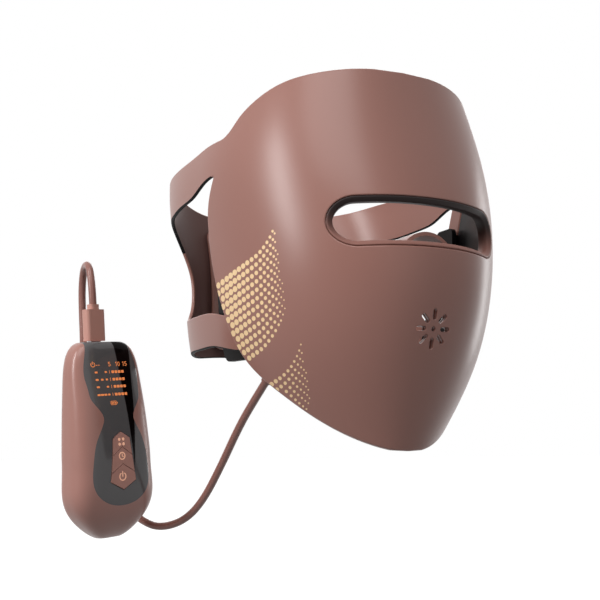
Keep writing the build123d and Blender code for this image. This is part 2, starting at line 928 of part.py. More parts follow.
# Outlines of the three buttons, one above the other
mode_outline = (
    (0, column_top),
    (column_top_half, column_shoulder),
    (column_upper_half, upper_chevron_end),
    (0, upper_chevron_peak),
    (-column_upper_half, upper_chevron_end),
    (-column_top_half, column_shoulder),
)
timer_outline = (
    (0, upper_chevron_peak),
    (column_upper_half, upper_chevron_end),
    (column_lower_half, lower_chevron_end),
    (0, lower_chevron_peak),
    (-column_lower_half, lower_chevron_end),
    (-column_upper_half, upper_chevron_end),
)
power_outline = (
    (0, lower_chevron_peak),
    (column_lower_half, lower_chevron_end),
    (column_bottom_half, column_hip),
    (0, column_bottom),
    (-column_bottom_half, column_hip),
    (-column_lower_half, lower_chevron_end),
)
column_outline = (
    (0, column_top),
    (column_top_half, column_shoulder),
    (column_lower_half, lower_chevron_end),
    (column_bottom_half, column_hip),
    (0, column_bottom),
    (-column_bottom_half, column_hip),
    (-column_lower_half, lower_chevron_end),
    (-column_top_half, column_shoulder),
)


def outline_block(outline, grow, depth, length):
    """Bar toward the front, from an outline grown or shrunk all round."""
    with BuildPart() as bar:
        with BuildSketch(depth_plane(depth)):
            Polygon(*outline, align=None)
            offset(amount=grow, kind=Kind.INTERSECTION)
        extrude(amount=length)
    return bar.part


def screw_posts(radius, back, front):
    """Round bars at the four screw places, between two depths."""
    with BuildPart() as posts:
        with BuildSketch(depth_plane(back)):
            for level in (screw_top_level, screw_bottom_level):
                for side in (-screw_reach, screw_reach):
                    with Locations((side, level)):
                        Circle(radius)
        extrude(amount=back - front)
    return posts.part


def socket_bar(depth, level, length, width, height):
    """Upright rounded bar in the controller, at a depth and from a level."""
    with BuildPart() as bar:
        with BuildSketch(case_level.offset(level)):
            with Locations((0, depth)):
                RectangleRounded(width, height, height / 2 - socket_wall / 2)
        extrude(amount=length)
    return bar.part


# Glossy window that wraps over the controller's top
column_hole = outline_block(column_outline, button_gap / 2, -button_stem_depth + case_wall, reach)
with BuildPart() as window:
    extrude(window_face.sketch, amount=reach)
    add(case_form(), mode=Mode.INTERSECT)
    add(case_form(window_thickness), mode=Mode.SUBTRACT)
    add(column_hole, mode=Mode.SUBTRACT)
window.part.label = "window"
export_step(window.part, "parts/window.step")

# Front and back halves of the case
socket_holes = [
    socket_bar(
        depth,
        level,
        length,
        socket_width + 2 * socket_hole_gap,
        socket_height + 2 * socket_hole_gap,
    )
    for depth, level, length in (
        (output_socket_depth, case_top + window_thickness, -socket_length - 2 * window_thickness),
        (charge_socket_depth, case_bottom - window_thickness, socket_length + 2 * window_thickness),
    )
]
with BuildPart() as front_posts:
    add(screw_posts(boss_radius, case_parting - case_joint_gap, -controller_front_depth))
    add(case_form(boss_root), mode=Mode.INTERSECT)
with BuildPart() as window_pocket:
    extrude(window_face.sketch, amount=reach)
    add(case_form(window_thickness + window_gap), mode=Mode.SUBTRACT)
with BuildPart() as controller_front:
    with BuildSketch(depth_plane(case_parting - case_joint_gap)):
        Rectangle(reach, reach)
    extrude(amount=reach)
    add(case_form(), mode=Mode.INTERSECT)
    add(case_form(case_wall), mode=Mode.SUBTRACT)
    add(front_posts.part)
    add(
        screw_posts(screw_shank_radius + case_joint_gap, case_parting, screw_seat - screw_length),
        mode=Mode.SUBTRACT,
    )
    add(window_pocket.part, mode=Mode.SUBTRACT)
    add(column_hole, mode=Mode.SUBTRACT)
    with BuildSketch(depth_plane(0)):
        with Locations((0, display_aperture_level)):
            Rectangle(display_aperture_width, display_aperture_height)
    extrude(amount=reach, mode=Mode.SUBTRACT)
    for hole in socket_holes:
        add(hole, mode=Mode.SUBTRACT)
controller_front.part.label = "controller_front"
export_step(controller_front.part, "parts/controller_front.step")

with BuildPart() as back_posts:
    add(screw_posts(seat_radius, controller_back_depth, case_parting + case_joint_gap))
    add(case_form(boss_root), mode=Mode.INTERSECT)
with BuildPart() as controller_back:
    with BuildSketch(depth_plane(case_parting + case_joint_gap)):
        Rectangle(reach, reach)
    extrude(amount=-reach)
    add(case_form(), mode=Mode.INTERSECT)
    add(case_form(case_wall), mode=Mode.SUBTRACT)
    add(back_posts.part)
    add(screw_posts(screw_head_radius + screw_gap, reach, screw_seat), mode=Mode.SUBTRACT)
    add(screw_posts(screw_shank_radius + screw_gap, reach, case_parting), mode=Mode.SUBTRACT)
    for hole in socket_holes:
        add(hole, mode=Mode.SUBTRACT)
controller_back.part.label = "controller_back"
export_step(controller_back.part, "parts/controller_back.step")

# Case screws
with BuildPart() as case_screws:
    add(screw_posts(screw_head_radius, screw_seat + screw_head_height, screw_seat))
    add(screw_posts(screw_shank_radius, screw_seat, screw_seat + screw_head_height - screw_length))
case_screws.part.label = "case_screws"
export_step(case_screws.part, "parts/case_screws.step")


def button(outline):
    """Button that fills its outline, from its stem end to just proud of the case."""
    with BuildPart() as body:
        add(outline_block(outline, -button_gap / 2, -button_stem_depth, reach))
        add(case_form(-button_proud), mode=Mode.INTERSECT)
    return body.part


# Mode, timer and power buttons
with BuildPart() as mode_button:
    add(button(mode_outline))
mode_button.part.label = "mode_button"
export_step(mode_button.part, "parts/mode_button.step")

with BuildPart() as timer_button:
    add(button(timer_outline))
timer_button.part.label = "timer_button"
export_step(timer_button.part, "parts/timer_button.step")

with BuildPart() as power_button:
    add(button(power_outline))
power_button.part.label = "power_button"
export_step(power_button.part, "parts/power_button.step")


def board(front, width, top, bottom):
    """Flat board across the controller, trimmed to the inside of its case."""
    with BuildPart() as plate:
        with BuildSketch(depth_plane(front + board_thickness)):
            with Locations((0, (top + bottom) / 2)):
                Rectangle(width, top - bottom)
        extrude(amount=board_thickness)
        add(case_form(case_wall + board_clearance), mode=Mode.INTERSECT)
    return plate.part


# Boards
with BuildPart() as button_board:
    add(board(button_board_front, button_board_width, button_board_top, button_board_bottom))
button_board.part.label = "button_board"
export_step(button_board.part, "parts/button_board.step")

with BuildPart() as display_board:
    add(board(display_board_front, display_board_width, display_board_top, display_board_bottom))
display_board.part.label = "display_board"
export_step(display_board.part, "parts/display_board.step")

with BuildPart() as main_board:
    add(board(main_board_front, controller_length, main_board_half_length, -main_board_half_length))
    add(
        screw_posts(boss_radius + boss_board_gap, case_parting, -controller_front_depth),
        mode=Mode.SUBTRACT,
    )
main_board.part.label = "main_board"
export_step(main_board.part, "parts/main_board.step")

# Switch domes under the buttons
with BuildPart() as switch_domes:
    with BuildSketch(depth_plane(button_board_front)):
        for level in dome_levels:
            with Locations((0, level)):
                Circle(dome_radius)
    extrude(amount=dome_height, taper=dome_taper)
switch_domes.part.label = "switch_domes"
export_step(switch_domes.part, "parts/switch_domes.step")

# Leds behind the window
with BuildPart() as display_leds:
    with BuildSketch(depth_plane(display_board_front)):
        with Locations((0, display_aperture_level)):
            with GridLocations(led_column_pitch, led_row_pitch, led_columns, led_rows):
                Rectangle(led_length, led_width)
    extrude(amount=led_height)
display_leds.part.label = "display_leds"
export_step(display_leds.part, "parts/display_leds.step")

# Spacers that hold the two front boards off the main board
with BuildPart() as board_spacers:
    for front, spacer_reach, top, bottom in (
        (display_board_front, display_spacer_reach, display_board_top, display_board_bottom),
        (button_board_front, button_spacer_reach, button_board_top, button_board_bottom),
    ):
        with BuildSketch(depth_plane(main_board_front)):
            for level in (top - spacer_inset, bottom + spacer_inset):
                for side in (-spacer_reach, spacer_reach):
                    with Locations((side, level)):
                        Circle(spacer_radius)
        extrude(amount=main_board_front - front - board_thickness)
board_spacers.part.label = "board_spacers"
export_step(board_spacers.part, "parts/board_spacers.step")

# Battery
with BuildPart() as battery:
    with BuildSketch(depth_plane(battery_back)):
        with Locations((0, battery_level)):
            RectangleRounded(battery_width, battery_length, battery_round)
    extrude(amount=battery_thickness)
battery.part.label = "battery"
export_step(battery.part, "parts/battery.step")


def socket(depth, level, way):
    """Open metal sleeve with a closed inner end."""
    with BuildPart() as sleeve:
        add(socket_bar(depth, level, way * socket_length, socket_width, socket_height))
        add(
            socket_bar(
                depth,
                level,
                way * (socket_length - socket_wall),
                socket_width - 2 * socket_wall,
                socket_height - 2 * socket_wall,
            ),
            mode=Mode.SUBTRACT,
        )
    return sleeve.part


# Output socket at the top, charge socket at the bottom
with BuildPart() as output_socket:
    add(socket(output_socket_depth, case_top, -1))
output_socket.part.label = "output_socket"
export_step(output_socket.part, "parts/output_socket.step")

with BuildPart() as charge_socket:
    add(socket(charge_socket_depth, case_bottom, 1))
charge_socket.part.label = "charge_socket"
export_step(charge_socket.part, "parts/charge_socket.step")

# Plug on the cord's end
with BuildPart() as plug_overmould:
    with BuildSketch(case_level.offset(plug_bottom)):
        with Locations((0, output_socket_depth)):
            RectangleRounded(plug_width, plug_depth, plug_round)
    extrude(amount=plug_length)
plug_overmould.part.label = "plug_overmould"
export_step(plug_overmould.part, "parts/plug_overmould.step")

with BuildPart() as plug_nub:
    with BuildSketch(case_level.offset(plug_bottom + plug_length)):
        with Locations((0, output_socket_depth)):
            RectangleRounded(nub_width, nub_depth, nub_round)
    extrude(amount=nub_length)
plug_nub.part.label = "plug_nub"
export_step(plug_nub.part, "parts/plug_nub.step")

with BuildPart() as plug_tip:
    with BuildSketch(case_level.offset(plug_bottom)):
        with Locations((0, output_socket_depth)):
            RectangleRounded(tip_width, tip_depth, tip_round)
    extrude(amount=-tip_length)
plug_tip.part.label = "plug_tip"
export_step(plug_tip.part, "parts/plug_tip.step")
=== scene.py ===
import math

import bpy
import numpy as np
from mathutils import Matrix, Vector, geometry
from mathutils.bvhtree import BVHTree


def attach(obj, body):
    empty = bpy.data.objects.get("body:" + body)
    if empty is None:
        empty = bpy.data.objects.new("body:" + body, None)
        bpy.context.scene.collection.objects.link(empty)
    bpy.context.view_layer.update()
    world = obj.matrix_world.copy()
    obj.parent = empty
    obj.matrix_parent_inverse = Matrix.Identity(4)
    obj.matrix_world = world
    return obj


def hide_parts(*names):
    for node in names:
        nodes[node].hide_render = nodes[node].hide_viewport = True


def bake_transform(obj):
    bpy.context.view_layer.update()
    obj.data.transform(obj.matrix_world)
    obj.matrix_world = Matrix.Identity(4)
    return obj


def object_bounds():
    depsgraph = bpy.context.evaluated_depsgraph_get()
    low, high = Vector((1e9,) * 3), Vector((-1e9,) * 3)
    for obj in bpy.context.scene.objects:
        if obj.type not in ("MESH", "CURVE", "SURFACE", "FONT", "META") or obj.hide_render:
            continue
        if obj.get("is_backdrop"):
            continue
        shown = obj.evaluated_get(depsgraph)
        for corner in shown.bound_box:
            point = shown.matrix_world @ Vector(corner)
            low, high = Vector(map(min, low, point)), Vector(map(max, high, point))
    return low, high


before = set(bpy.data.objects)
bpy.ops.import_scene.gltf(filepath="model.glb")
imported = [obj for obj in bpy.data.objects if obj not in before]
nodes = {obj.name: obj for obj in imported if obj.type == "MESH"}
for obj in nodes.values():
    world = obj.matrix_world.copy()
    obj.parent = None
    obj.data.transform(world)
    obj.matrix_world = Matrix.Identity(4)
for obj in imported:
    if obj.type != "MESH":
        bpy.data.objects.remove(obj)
cad_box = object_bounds()
MM = 0.001

# Main sizes of the form in millimetres, the same values as the solids'
HALF_WIDTH, FRONT_DEPTH, REAR_DEPTH, CROWN_HEIGHT, CHIN_DROP = 82.8, 110.8, 108.0, 86.8, 115.8


def side_depth(share):
    return share * (REAR_DEPTH if share > 0 else FRONT_DEPTH)


def level_height(share):
    return share * (CROWN_HEIGHT if share > 0 else CHIN_DROP)


def new_object(name, data):
    made = bpy.data.objects.new(name, data)
    bpy.context.scene.collection.objects.link(made)
    return made


# Camera at the photograph's viewing angle
camera_data = bpy.data.cameras.new("camera")
camera_data.lens = 66.0
camera_data.sensor_width = 36.0
camera_data.clip_start = 0.01
camera_data.clip_end = 20.0
camera = new_object("camera", camera_data)
right_way = Vector((0.88302, -0.46933, 0.0))
look_way = Vector((0.46561, 0.87602, 0.12567)).normalized()
up_way = right_way.cross(look_way).normalized()
turn = Matrix((right_way, up_way, -look_way)).transposed().to_4x4()
camera.matrix_world = Matrix.Translation(Vector((-316.39, -559.31, -108.87)) * MM) @ turn
bpy.context.scene.camera = camera


# Node and material helpers
def add_node(tree, kind, operation=None, **sockets):
    """Node with its operation and the values of its sockets set."""
    made = tree.nodes.new(kind)
    if operation:
        made.operation = operation
    for socket, value in sockets.items():
        made.inputs[socket.replace("_", " ")].default_value = value
    return made


def join(tree, *links):
    """Links, each given as a node, its output, the next node and its input."""
    for start, output, end, socket in links:
        tree.links.new(start.outputs[output], end.inputs[socket])


def add_sockets(group, in_out, *kinds):
    """Sockets of a node group's interface, each given as a name and a kind."""
    face = group.interface
    return [face.new_socket(name, in_out=in_out, socket_type="NodeSocket" + kind) for name, kind in kinds]


def node_material(name):
    made = bpy.data.materials.new(name)
    made.use_nodes = True
    tree = made.node_tree
    tree.nodes.clear()
    out = add_node(tree, "ShaderNodeOutputMaterial")
    shader = add_node(tree, "ShaderNodeBsdfPrincipled")
    join(tree, (shader, 0, out, 0))
    return made, tree, shader


def grain_group():
    """Colour drift, roughness drift and fine surface grain from object coordinates."""
    group = bpy.data.node_groups.new("surface_grain", "ShaderNodeTree")
    floats = ((name, "Float") for name in ("Drift", "Roughness", "Spread", "Scale", "Bump"))
    add_sockets(group, "INPUT", ("Color", "Color"), *floats)
    add_sockets(group, "OUTPUT", ("Color", "Color"), ("Roughness", "Float"), ("Normal", "Vector"))
    given = add_node(group, "NodeGroupInput")
    result = add_node(group, "NodeGroupOutput")
    place = add_node(group, "ShaderNodeTexCoord")
    broad = add_node(group, "ShaderNodeTexNoise", Scale=14.0, Detail=3.0)
    fine = add_node(group, "ShaderNodeTexNoise", Detail=4.0, Roughness=0.6)
    span = add_node(group, "ShaderNodeMapRange", To_Min=-1.0)
    amount = add_node(group, "ShaderNodeMath", "MULTIPLY_ADD")
    amount.inputs[2].default_value = 1.0
    tint = add_node(group, "ShaderNodeVectorMath", "SCALE")
    rough = add_node(group, "ShaderNodeMath", "MULTIPLY_ADD")
    bump = add_node(group, "ShaderNodeBump", Distance=0.0002)
    join(
        group,
        (place, "Object", broad, "Vector"),
        (place, "Object", fine, "Vector"),
        (given, "Scale", fine, "Scale"),
        (broad, "Fac", span, "Value"),
        (span, 0, amount, 0),
        (given, "Drift", amount, 1),
        (given, "Color", tint, 0),
        (amount, 0, tint, "Scale"),
        (tint, 0, result, "Color"),
        (span, 0, rough, 0),
        (given, "Spread", rough, 1),
        (given, "Roughness", rough, 2),
        (rough, 0, result, "Roughness"),
        (given, "Bump", bump, "Strength"),
        (fine, "Fac", bump, "Height"),
        (bump, 0, result, "Normal"),
    )
    return group


GRAIN = grain_group()


def srgb(red, green, blue):
    def line(value):
        value /= 255
        return value / 12.92 if value <= 0.04045 else ((value + 0.055) / 1.055) ** 2.4

    return (line(red), line(green), line(blue), 1.0)


def surface(name, shade, roughness, drift=0.05, spread=0.04, scale=900.0, bump=0.05, specular=0.5, **more):
    """Material of a shade in 0 to 255, with the grain group's values and more of the shader's sockets."""
    made, tree, shader = node_material(name)
    grain = tree.nodes.new("ShaderNodeGroup")
    grain.node_tree = GRAIN
    for socket, value in (
        ("Color", srgb(*shade)),
        ("Drift", drift),
        ("Roughness", roughness),
        ("Spread", spread),
        ("Scale", scale),
        ("Bump", bump),
    ):
        grain.inputs[socket].default_value = value
    for output, socket in (("Color", "Base Color"), ("Roughness", "Roughness"), ("Normal", "Normal")):
        join(tree, (grain, output, shader, socket))
    shader.inputs["Specular IOR Level"].default_value = specular
    for socket, value in more.items():
        shader.inputs[socket.replace("_", " ")].default_value = value
    made.diffuse_color = srgb(*shade)
    return made


def emission(strength, *shade):
    return {"Emission_Color": srgb(*shade), "Emission_Strength": strength}


SILICONE = surface("rose_silicone", (156, 109, 98), 0.32, drift=0.02, spread=0.02, bump=0.03, specular=0.4)
# Painted shade: a darker copy of the rose silicone for the right strap's inner face, which lies in shadow
# behind the ear gap
PAINTED_SHADE_SILICONE = surface("strap_inside_painted_shade", (96, 68, 63), 0.5, drift=0.03, specular=0.2)
CASE = surface("case_satin", (168, 119, 108), 0.29, drift=0.02, spread=0.02, bump=0.03, specular=0.45)
CORD_SKIN = surface("cord_skin", (146, 99, 89), 0.3, drift=0.04, specular=0.4)
EDGE_BLACK = surface("edge_black", (12, 10, 10), 0.6, bump=0.1, specular=0.1)
LINING = surface("smoked_lining", (18, 15, 16), 0.35, drift=0.1, bump=0.03, specular=0.25)
RIM = surface("slot_rim_brown", (146, 102, 92), 0.5, bump=0.03, specular=0.2)
FLAP = surface("flap_brown", (146, 104, 94), 0.45, bump=0.04, specular=0.2)
# Painted light: the plug's satin is a lighter copy of the case colour, lifting the plug's face that the lamps
# leave dark
PLUG = surface("plug_satin", (204, 152, 139), 0.4, drift=0.03, bump=0.04, specular=0.3)
ANCHOR = surface("anchor_black", (12, 10, 10), 0.55, bump=0.12, specular=0.15)
# Painted light: the buttons' satin is a lighter copy of the case colour, making up for the light the buttons
# get less of
BUTTON = surface("button_satin", (192, 141, 129), 0.4, drift=0.02, bump=0.03, specular=0.3)
# Painted reflection: the black glass window's grey base colour stands in for the bright surroundings it
# reflects
WINDOW = surface("window_gloss", (98, 96, 97), 0.12, drift=0.03, spread=0.01, bump=0.0, specular=0.3)
BOARD = surface("board_green", (28, 84, 52), 0.4, scale=1500.0, bump=0.1)
FLEX = surface("flex_amber", (122, 74, 34), 0.35, drift=0.1)
LED = surface("led_pearl", (236, 228, 204), 0.2, drift=0.03, bump=0.02, Coat_Weight=0.6)
METAL = surface("brushed_metal", (196, 196, 200), 0.3, drift=0.03, scale=2600.0, bump=0.12, Metallic=1.0)
CELL = surface("cell_wrap", (52, 78, 118), 0.35, bump=0.06)
SPACER = surface("spacer_white", (214, 214, 208), 0.5)
PAD = surface("pad_pile", (44, 36, 34), 0.9, drift=0.3, scale=1400.0, bump=0.8, Sheen_Weight=0.5)
DOT = surface("dot_print", (252, 217, 168), 0.4, drift=0.02, bump=0.02)
# Painted glow: the printed peach icons get a faint emission in their own colour, lighting them beyond the
# lamps
ICON = surface("icon_peach", (250, 190, 158), 0.45, drift=0.02, bump=0.02, **emission(0.3, 250, 190, 158))
GLOW = surface("indicator_orange", (255, 154, 90), 0.5, drift=0.02, bump=0.0, **emission(0.35, 255, 140, 74))


def along(tree, way, start, end):
    """Share from 0 to 1 between two distances along a way, in object coordinates."""
    place = add_node(tree, "ShaderNodeTexCoord")
    reach = add_node(tree, "ShaderNodeVectorMath", "DOT_PRODUCT")
    reach.inputs[1].default_value = tuple(way)
    span = add_node(tree, "ShaderNodeMapRange", From_Min=start, From_Max=end)
    span.interpolation_type = "SMOOTHSTEP"
    join(tree, (place, "Object", reach, 0), (reach, "Value", span, "Value"))
    return span.outputs[0]


def blend_color(material, share, color):
    """Leads a material's colour over to another one by a share."""
    tree = material.node_tree
    grain = next(node for node in tree.nodes if node.type == "GROUP")
    mix = tree.nodes.new("ShaderNodeMix")
    mix.data_type = "RGBA"
    mix.inputs[6].default_value = grain.inputs["Color"].default_value
    mix.inputs[7].default_value = color
    tree.links.new(share, mix.inputs["Factor"])
    tree.links.new(mix.outputs[2], grain.inputs["Color"])


# Painted shade: the slot rim's brown darkens toward its top, where the rim's underside lies in shadow
blend_color(RIM, along(RIM.node_tree, (0, 0, 1), -0.011, 0.007), srgb(40, 30, 29))

for material, names in (
    (FLEX, ("flex_circuit",)),
    (LED, ("led_beads", "display_leds")),
    (LINING, ("inner_lens",)),
    (CASE, ("controller_front", "controller_back")),
    (BUTTON, ("mode_button", "timer_button", "power_button")),
    (WINDOW, ("window",)),
    (BOARD, ("connector_board", "button_board", "display_board", "main_board")),
    (METAL, ("plug_tip", "output_socket", "charge_socket", "case_screws", "switch_domes")),
    (CELL, ("battery",)),
    (SPACER, ("board_spacers",)),
    (PAD, ("loop_pad", "hook_pad")),
    (FLAP, ("connector_pod", "nose_rest")),
    (ANCHOR, ("side_anchor_right", "side_anchor_left")),
    (CORD_SKIN, ("strain_relief",)),
    (PLUG, ("plug_overmould", "plug_nub")),
):
    for name in names:
        nodes[name].data.materials.clear()
        nodes[name].data.materials.append(material)


# Cord: control points in metres, the same route as the solid's
CORD_SHARES = (
    (-0.6715, -0.2708, -0.6744), (-0.7017, -0.1264, -0.7979), (-0.7198, -0.0108, -0.9076),
    (-0.7379, 0.1361, -1.0596), (-0.7742, 0.3167, -1.2444), (-0.8454, 0.4463, -1.3480),
    (-0.9614, 0.5741, -1.3877), (-1.0556, 0.6602, -1.3558), (-1.1787, 0.7278, -1.2651),
    (-1.3092, 0.7657, -1.0967), (-1.4130, 0.7657, -0.8921), (-1.4771, 0.7426, -0.6632),
    (-1.4879, 0.7370, -0.4318), (-1.4976, 0.7463, -0.2936), (-1.5085, 0.7407, -0.1606),
    (-1.5217, 0.6778, -0.0596), (-1.5338, 0.5574, -0.0596),
)
CASE_TURN, CASE_TILT = math.radians(18), math.radians(4.5)
front_way = Vector((math.sin(CASE_TURN), -math.cos(CASE_TURN), 0))
case_up = Matrix.Rotation(CASE_TILT, 3, front_way) @ Vector((0, 0, 1))
case_right = case_up.cross(front_way)
case_place = Vector((-0.1183, 0.0520, -0.1094))


def case_point(x, y, z):
    return case_place + (case_right * x - front_way * y + case_up * z) * MM


LEFT_SLANT, RIGHT_SLANT, BAND_LEFT, BAND_RIGHT, BAND_FADE = 0.066, 0.088, 0.0068, -0.0101, 0.0007


def paint_window_reflection():
    """Dark band down the window's right side: painted reflection of the dark where the glass curves round,
    with less specular.
    """
    tree = WINDOW.node_tree
    shader = next(node for node in tree.nodes if node.type == "BSDF_PRINCIPLED")
    left, right = case_right + case_up * LEFT_SLANT, case_up * RIGHT_SLANT - case_right
    shares = []
    for way, start in ((left, BAND_LEFT), (right, BAND_RIGHT)):
        start += way.dot(case_place)
        shares.append(along(tree, way, start, start + BAND_FADE))
    band = add_node(tree, "ShaderNodeMath", "MULTIPLY")
    for i, share in enumerate(shares):
        tree.links.new(share, band.inputs[i])
    blend_color(WINDOW, band.outputs[0], srgb(15, 10, 10))
    gloss = add_node(tree, "ShaderNodeMapRange", To_Min=0.3, To_Max=0.05)
    join(tree, (band, 0, gloss, "Value"), (gloss, 0, shader, "Specular IOR Level"))


paint_window_reflection()


CASE_HEIGHT, PLUG_GAP, PLUG_HEIGHT, NUB_HEIGHT = 111.5, 1, 18.2, 3
SOCKET_DEPTH, CORD_RISE, CORD_RADIUS = 5, 11, 0.0022
plug_top = 0.502 * CASE_HEIGHT + PLUG_GAP + PLUG_HEIGHT + NUB_HEIGHT
route = [Vector((x * HALF_WIDTH, side_depth(y), level_height(z))) * MM for x, y, z in CORD_SHARES]
route += [case_point(0, SOCKET_DEPTH, plug_top + CORD_RISE), case_point(0, SOCKET_DEPTH, plug_top)]
cord_curve = bpy.data.curves.new("cord_line", "CURVE")
cord_curve.dimensions = "3D"
spline = cord_curve.splines.new("NURBS")
spline.points.add(len(route) - 1)
for point, co in zip(spline.points, route):
    point.co = (*co, 1)
spline.order_u = 3
spline.use_endpoint_u = True
spline.resolution_u = 16
cord_curve.bevel_depth = CORD_RADIUS
cord_curve.bevel_resolution = 8
cord_curve.use_fill_caps = True
cord = new_object("cord_skin", cord_curve)
cord_curve.materials.append(CORD_SKIN)
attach(cord, "mask")
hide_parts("cord")
tuple(route[0])


# Head form, in millimetres: the same table as the solid's
FORM = (
    (-1.054, 0.464, 0.725, 0.722, 2.01),
    (-0.820, 0.690, 0.831, 0.796, 2.05),
    (-0.587, 0.851, 0.924, 0.852, 2.09),
    (-0.345, 0.931, 0.989, 0.838, 2.13),
    (-0.104, 0.970, 1.000, 0.833, 2.17),
    (0.184, 1.000, 0.948, 0.889, 2.21),
    (0.507, 0.992, 0.864, 0.991, 2.25),
    (0.829, 0.918, 0.780, 1.093, 2.29),
    (1.106, 0.820, 0.713, 1.148, 2.33),
)
LEVELS = np.array([level_height(row[0]) for row in FORM])
SIZES = np.array([row[1:] for row in FORM]) * (HALF_WIDTH, FRONT_DEPTH, REAR_DEPTH, 1.0)
REAR_POWER, TUCK_START, TUCK_RUN = 3.0, 20, 50


def natural_curve(x, y):
    """Second derivatives of the natural cubic through a table's columns."""
    count = len(x)
    step = np.diff(x)
    system = np.eye(count)
    known = np.zeros_like(y)
    for i in range(1, count - 1):
        system[i, i - 1 : i + 2] = step[i - 1] / 6, (step[i - 1] + step[i]) / 3, step[i] / 6
        known[i] = (y[i + 1] - y[i]) / step[i] - (y[i] - y[i - 1]) / step[i - 1]
    return np.linalg.solve(system, known)


BENDS = natural_curve(LEVELS, SIZES)


def sizes_at(z, levels=LEVELS, sizes=SIZES, bends=BENDS):
    z = np.asarray(z, float)
    i = np.clip(np.searchsorted(levels, z) - 1, 0, len(levels) - 2)
    low, high = levels[i], levels[i + 1]
    h = (high - low)[..., None]
    a = (high - z)[..., None] / h
    b = 1 - a
    return a * sizes[i] + b * sizes[i + 1] + ((a**3 - a) * bends[i] + (b**3 - b) * bends[i + 1]) * h**2 / 6


def form_sizes(z, inset, rear_inset=0.0, tuck=0.0):
    table = sizes_at(z)
    drawn = inset + tuck * np.clip((TUCK_START - np.asarray(z, float)) / TUCK_RUN, 0, 1)
    return table[..., 0] - drawn, table[..., 1] - drawn, table[..., 2] - inset - rear_inset, table[..., 3]


def form_point(angle, z, inset, rear_inset=0.0, tuck=0.0):
    """Points on the head form. Angle 0 is the front, positive toward +X."""
    width, front, rear, power = form_sizes(z, inset, rear_inset, tuck)
    s, c = np.sin(angle), np.cos(angle)
    ahead = c >= 0
    depth = np.where(ahead, front, rear)
    n = np.where(ahead, power, REAR_POWER)
    r = ((np.abs(s) / width) ** n + (np.abs(c) / depth) ** n) ** (-1 / n)
    return np.stack([r * s, -r * c, np.asarray(z, float) + 0 * r], -1)


def angle_at_depth(y, z, rear_inset=0.0, tuck=0.0):
    """Angle on the +X side where the form lies at a depth, and pi or 0 past its ends."""
    width, front, rear, power = form_sizes(z, 0.0, rear_inset, tuck)
    y = np.asarray(y, float)
    depth = np.where(y < 0, front, rear)
    n = np.where(y < 0, power, REAR_POWER)
    x = width * np.clip(1 - (np.abs(y) / depth) ** n, 0, None) ** (1 / n)
    return np.arctan2(x, -y)


def angle_at_width(x, z):
    """Angle on the front side where the form lies at a width."""
    width, front, _, n = form_sizes(z, 0.0)
    y = front * np.clip(1 - (np.abs(x) / width) ** n, 0, None) ** (1 / n)
    return np.arctan2(x, y)


def smooth_chain(points, step=0.8):
    """Natural cubic by chord length through a chain of 2-D points."""
    points = np.asarray(points, float)
    along = np.r_[0, np.cumsum(np.linalg.norm(np.diff(points, axis=0), axis=1))]
    bends = natural_curve(along, points)
    count = max(3, int(along[-1] / step))
    return sizes_at(np.linspace(0, along[-1], count), along, points, bends)


def straight(a, b, step=1.2):
    a, b = np.asarray(a, float), np.asarray(b, float)
    count = max(2, int(np.linalg.norm(b - a) / step))
    return a + (b - a) * np.linspace(0, 1, count)[:, None]


def tidy_loop(loop, closest=0.25):
    """Drops points of a closed loop that lie on one another."""
    kept = [loop[0]]
    for point in loop[1:]:
        if np.linalg.norm(point - kept[-1]) > closest:
            kept.append(point)
    if np.linalg.norm(kept[0] - kept[-1]) <= closest:
        kept.pop()
    return np.array(kept)


def inside(points, loops):
    """Even-odd test of 2-D points against closed loops."""
    result = np.zeros(len(points), bool)
    for loop in loops:
        a, b = loop, np.roll(loop, -1, axis=0)
        x, y = points[:, 0][:, None], points[:, 1][:, None]
        crosses = (a[:, 1] > y) != (b[:, 1] > y)
        with np.errstate(divide="ignore", invalid="ignore"):
            at = a[:, 0] + (y - a[:, 1]) * (b[:, 0] - a[:, 0]) / (b[:, 1] - a[:, 1])
        result ^= (np.sum(crosses & (x < at), axis=1) % 2).astype(bool)
    return result


def loop_area(loop):
    x, y = loop[:, 0], loop[:, 1]
    return 0.5 * np.sum(x * np.roll(y, -1) - y * np.roll(x, -1))


def anticlockwise(loop):
    return loop[::-1] if loop_area(loop) < 0 else loop


def unit(ways):
    return ways / np.linalg.norm(ways, axis=1)[:, None]


def inward_ways(loop):
    """Unit vectors to the left of a loop's run."""
    ahead = unit(np.roll(loop, -1, axis=0) - loop)
    behind = unit(loop - np.roll(loop, 1, axis=0))
    along = ahead + behind
    along /= np.linalg.norm(along, axis=1)[:, None] + 1e-9
    half = np.clip(np.sum(along * ahead, axis=1), 0.5, 1)
    return np.c_[-along[:, 1], along[:, 0]] / half[:, None]


def nearest_on(loop, points):
    """Nearest places on a closed loop, and how far they are."""
    run = np.roll(loop, -1, axis=0) - loop
    share = np.clip(np.sum((points[:, None] - loop) * run, axis=2) / (np.sum(run**2, axis=1) + 1e-12), 0, 1)
    places = loop + share[..., None] * run
    gaps = np.linalg.norm(points[:, None] - places, axis=2)
    rows, best = np.arange(len(points)), gaps.argmin(1)
    return places[rows, best], gaps[rows, best]


ROW_STEP, EDGE_GAP, BATCH = 0.866, 0.6, 400


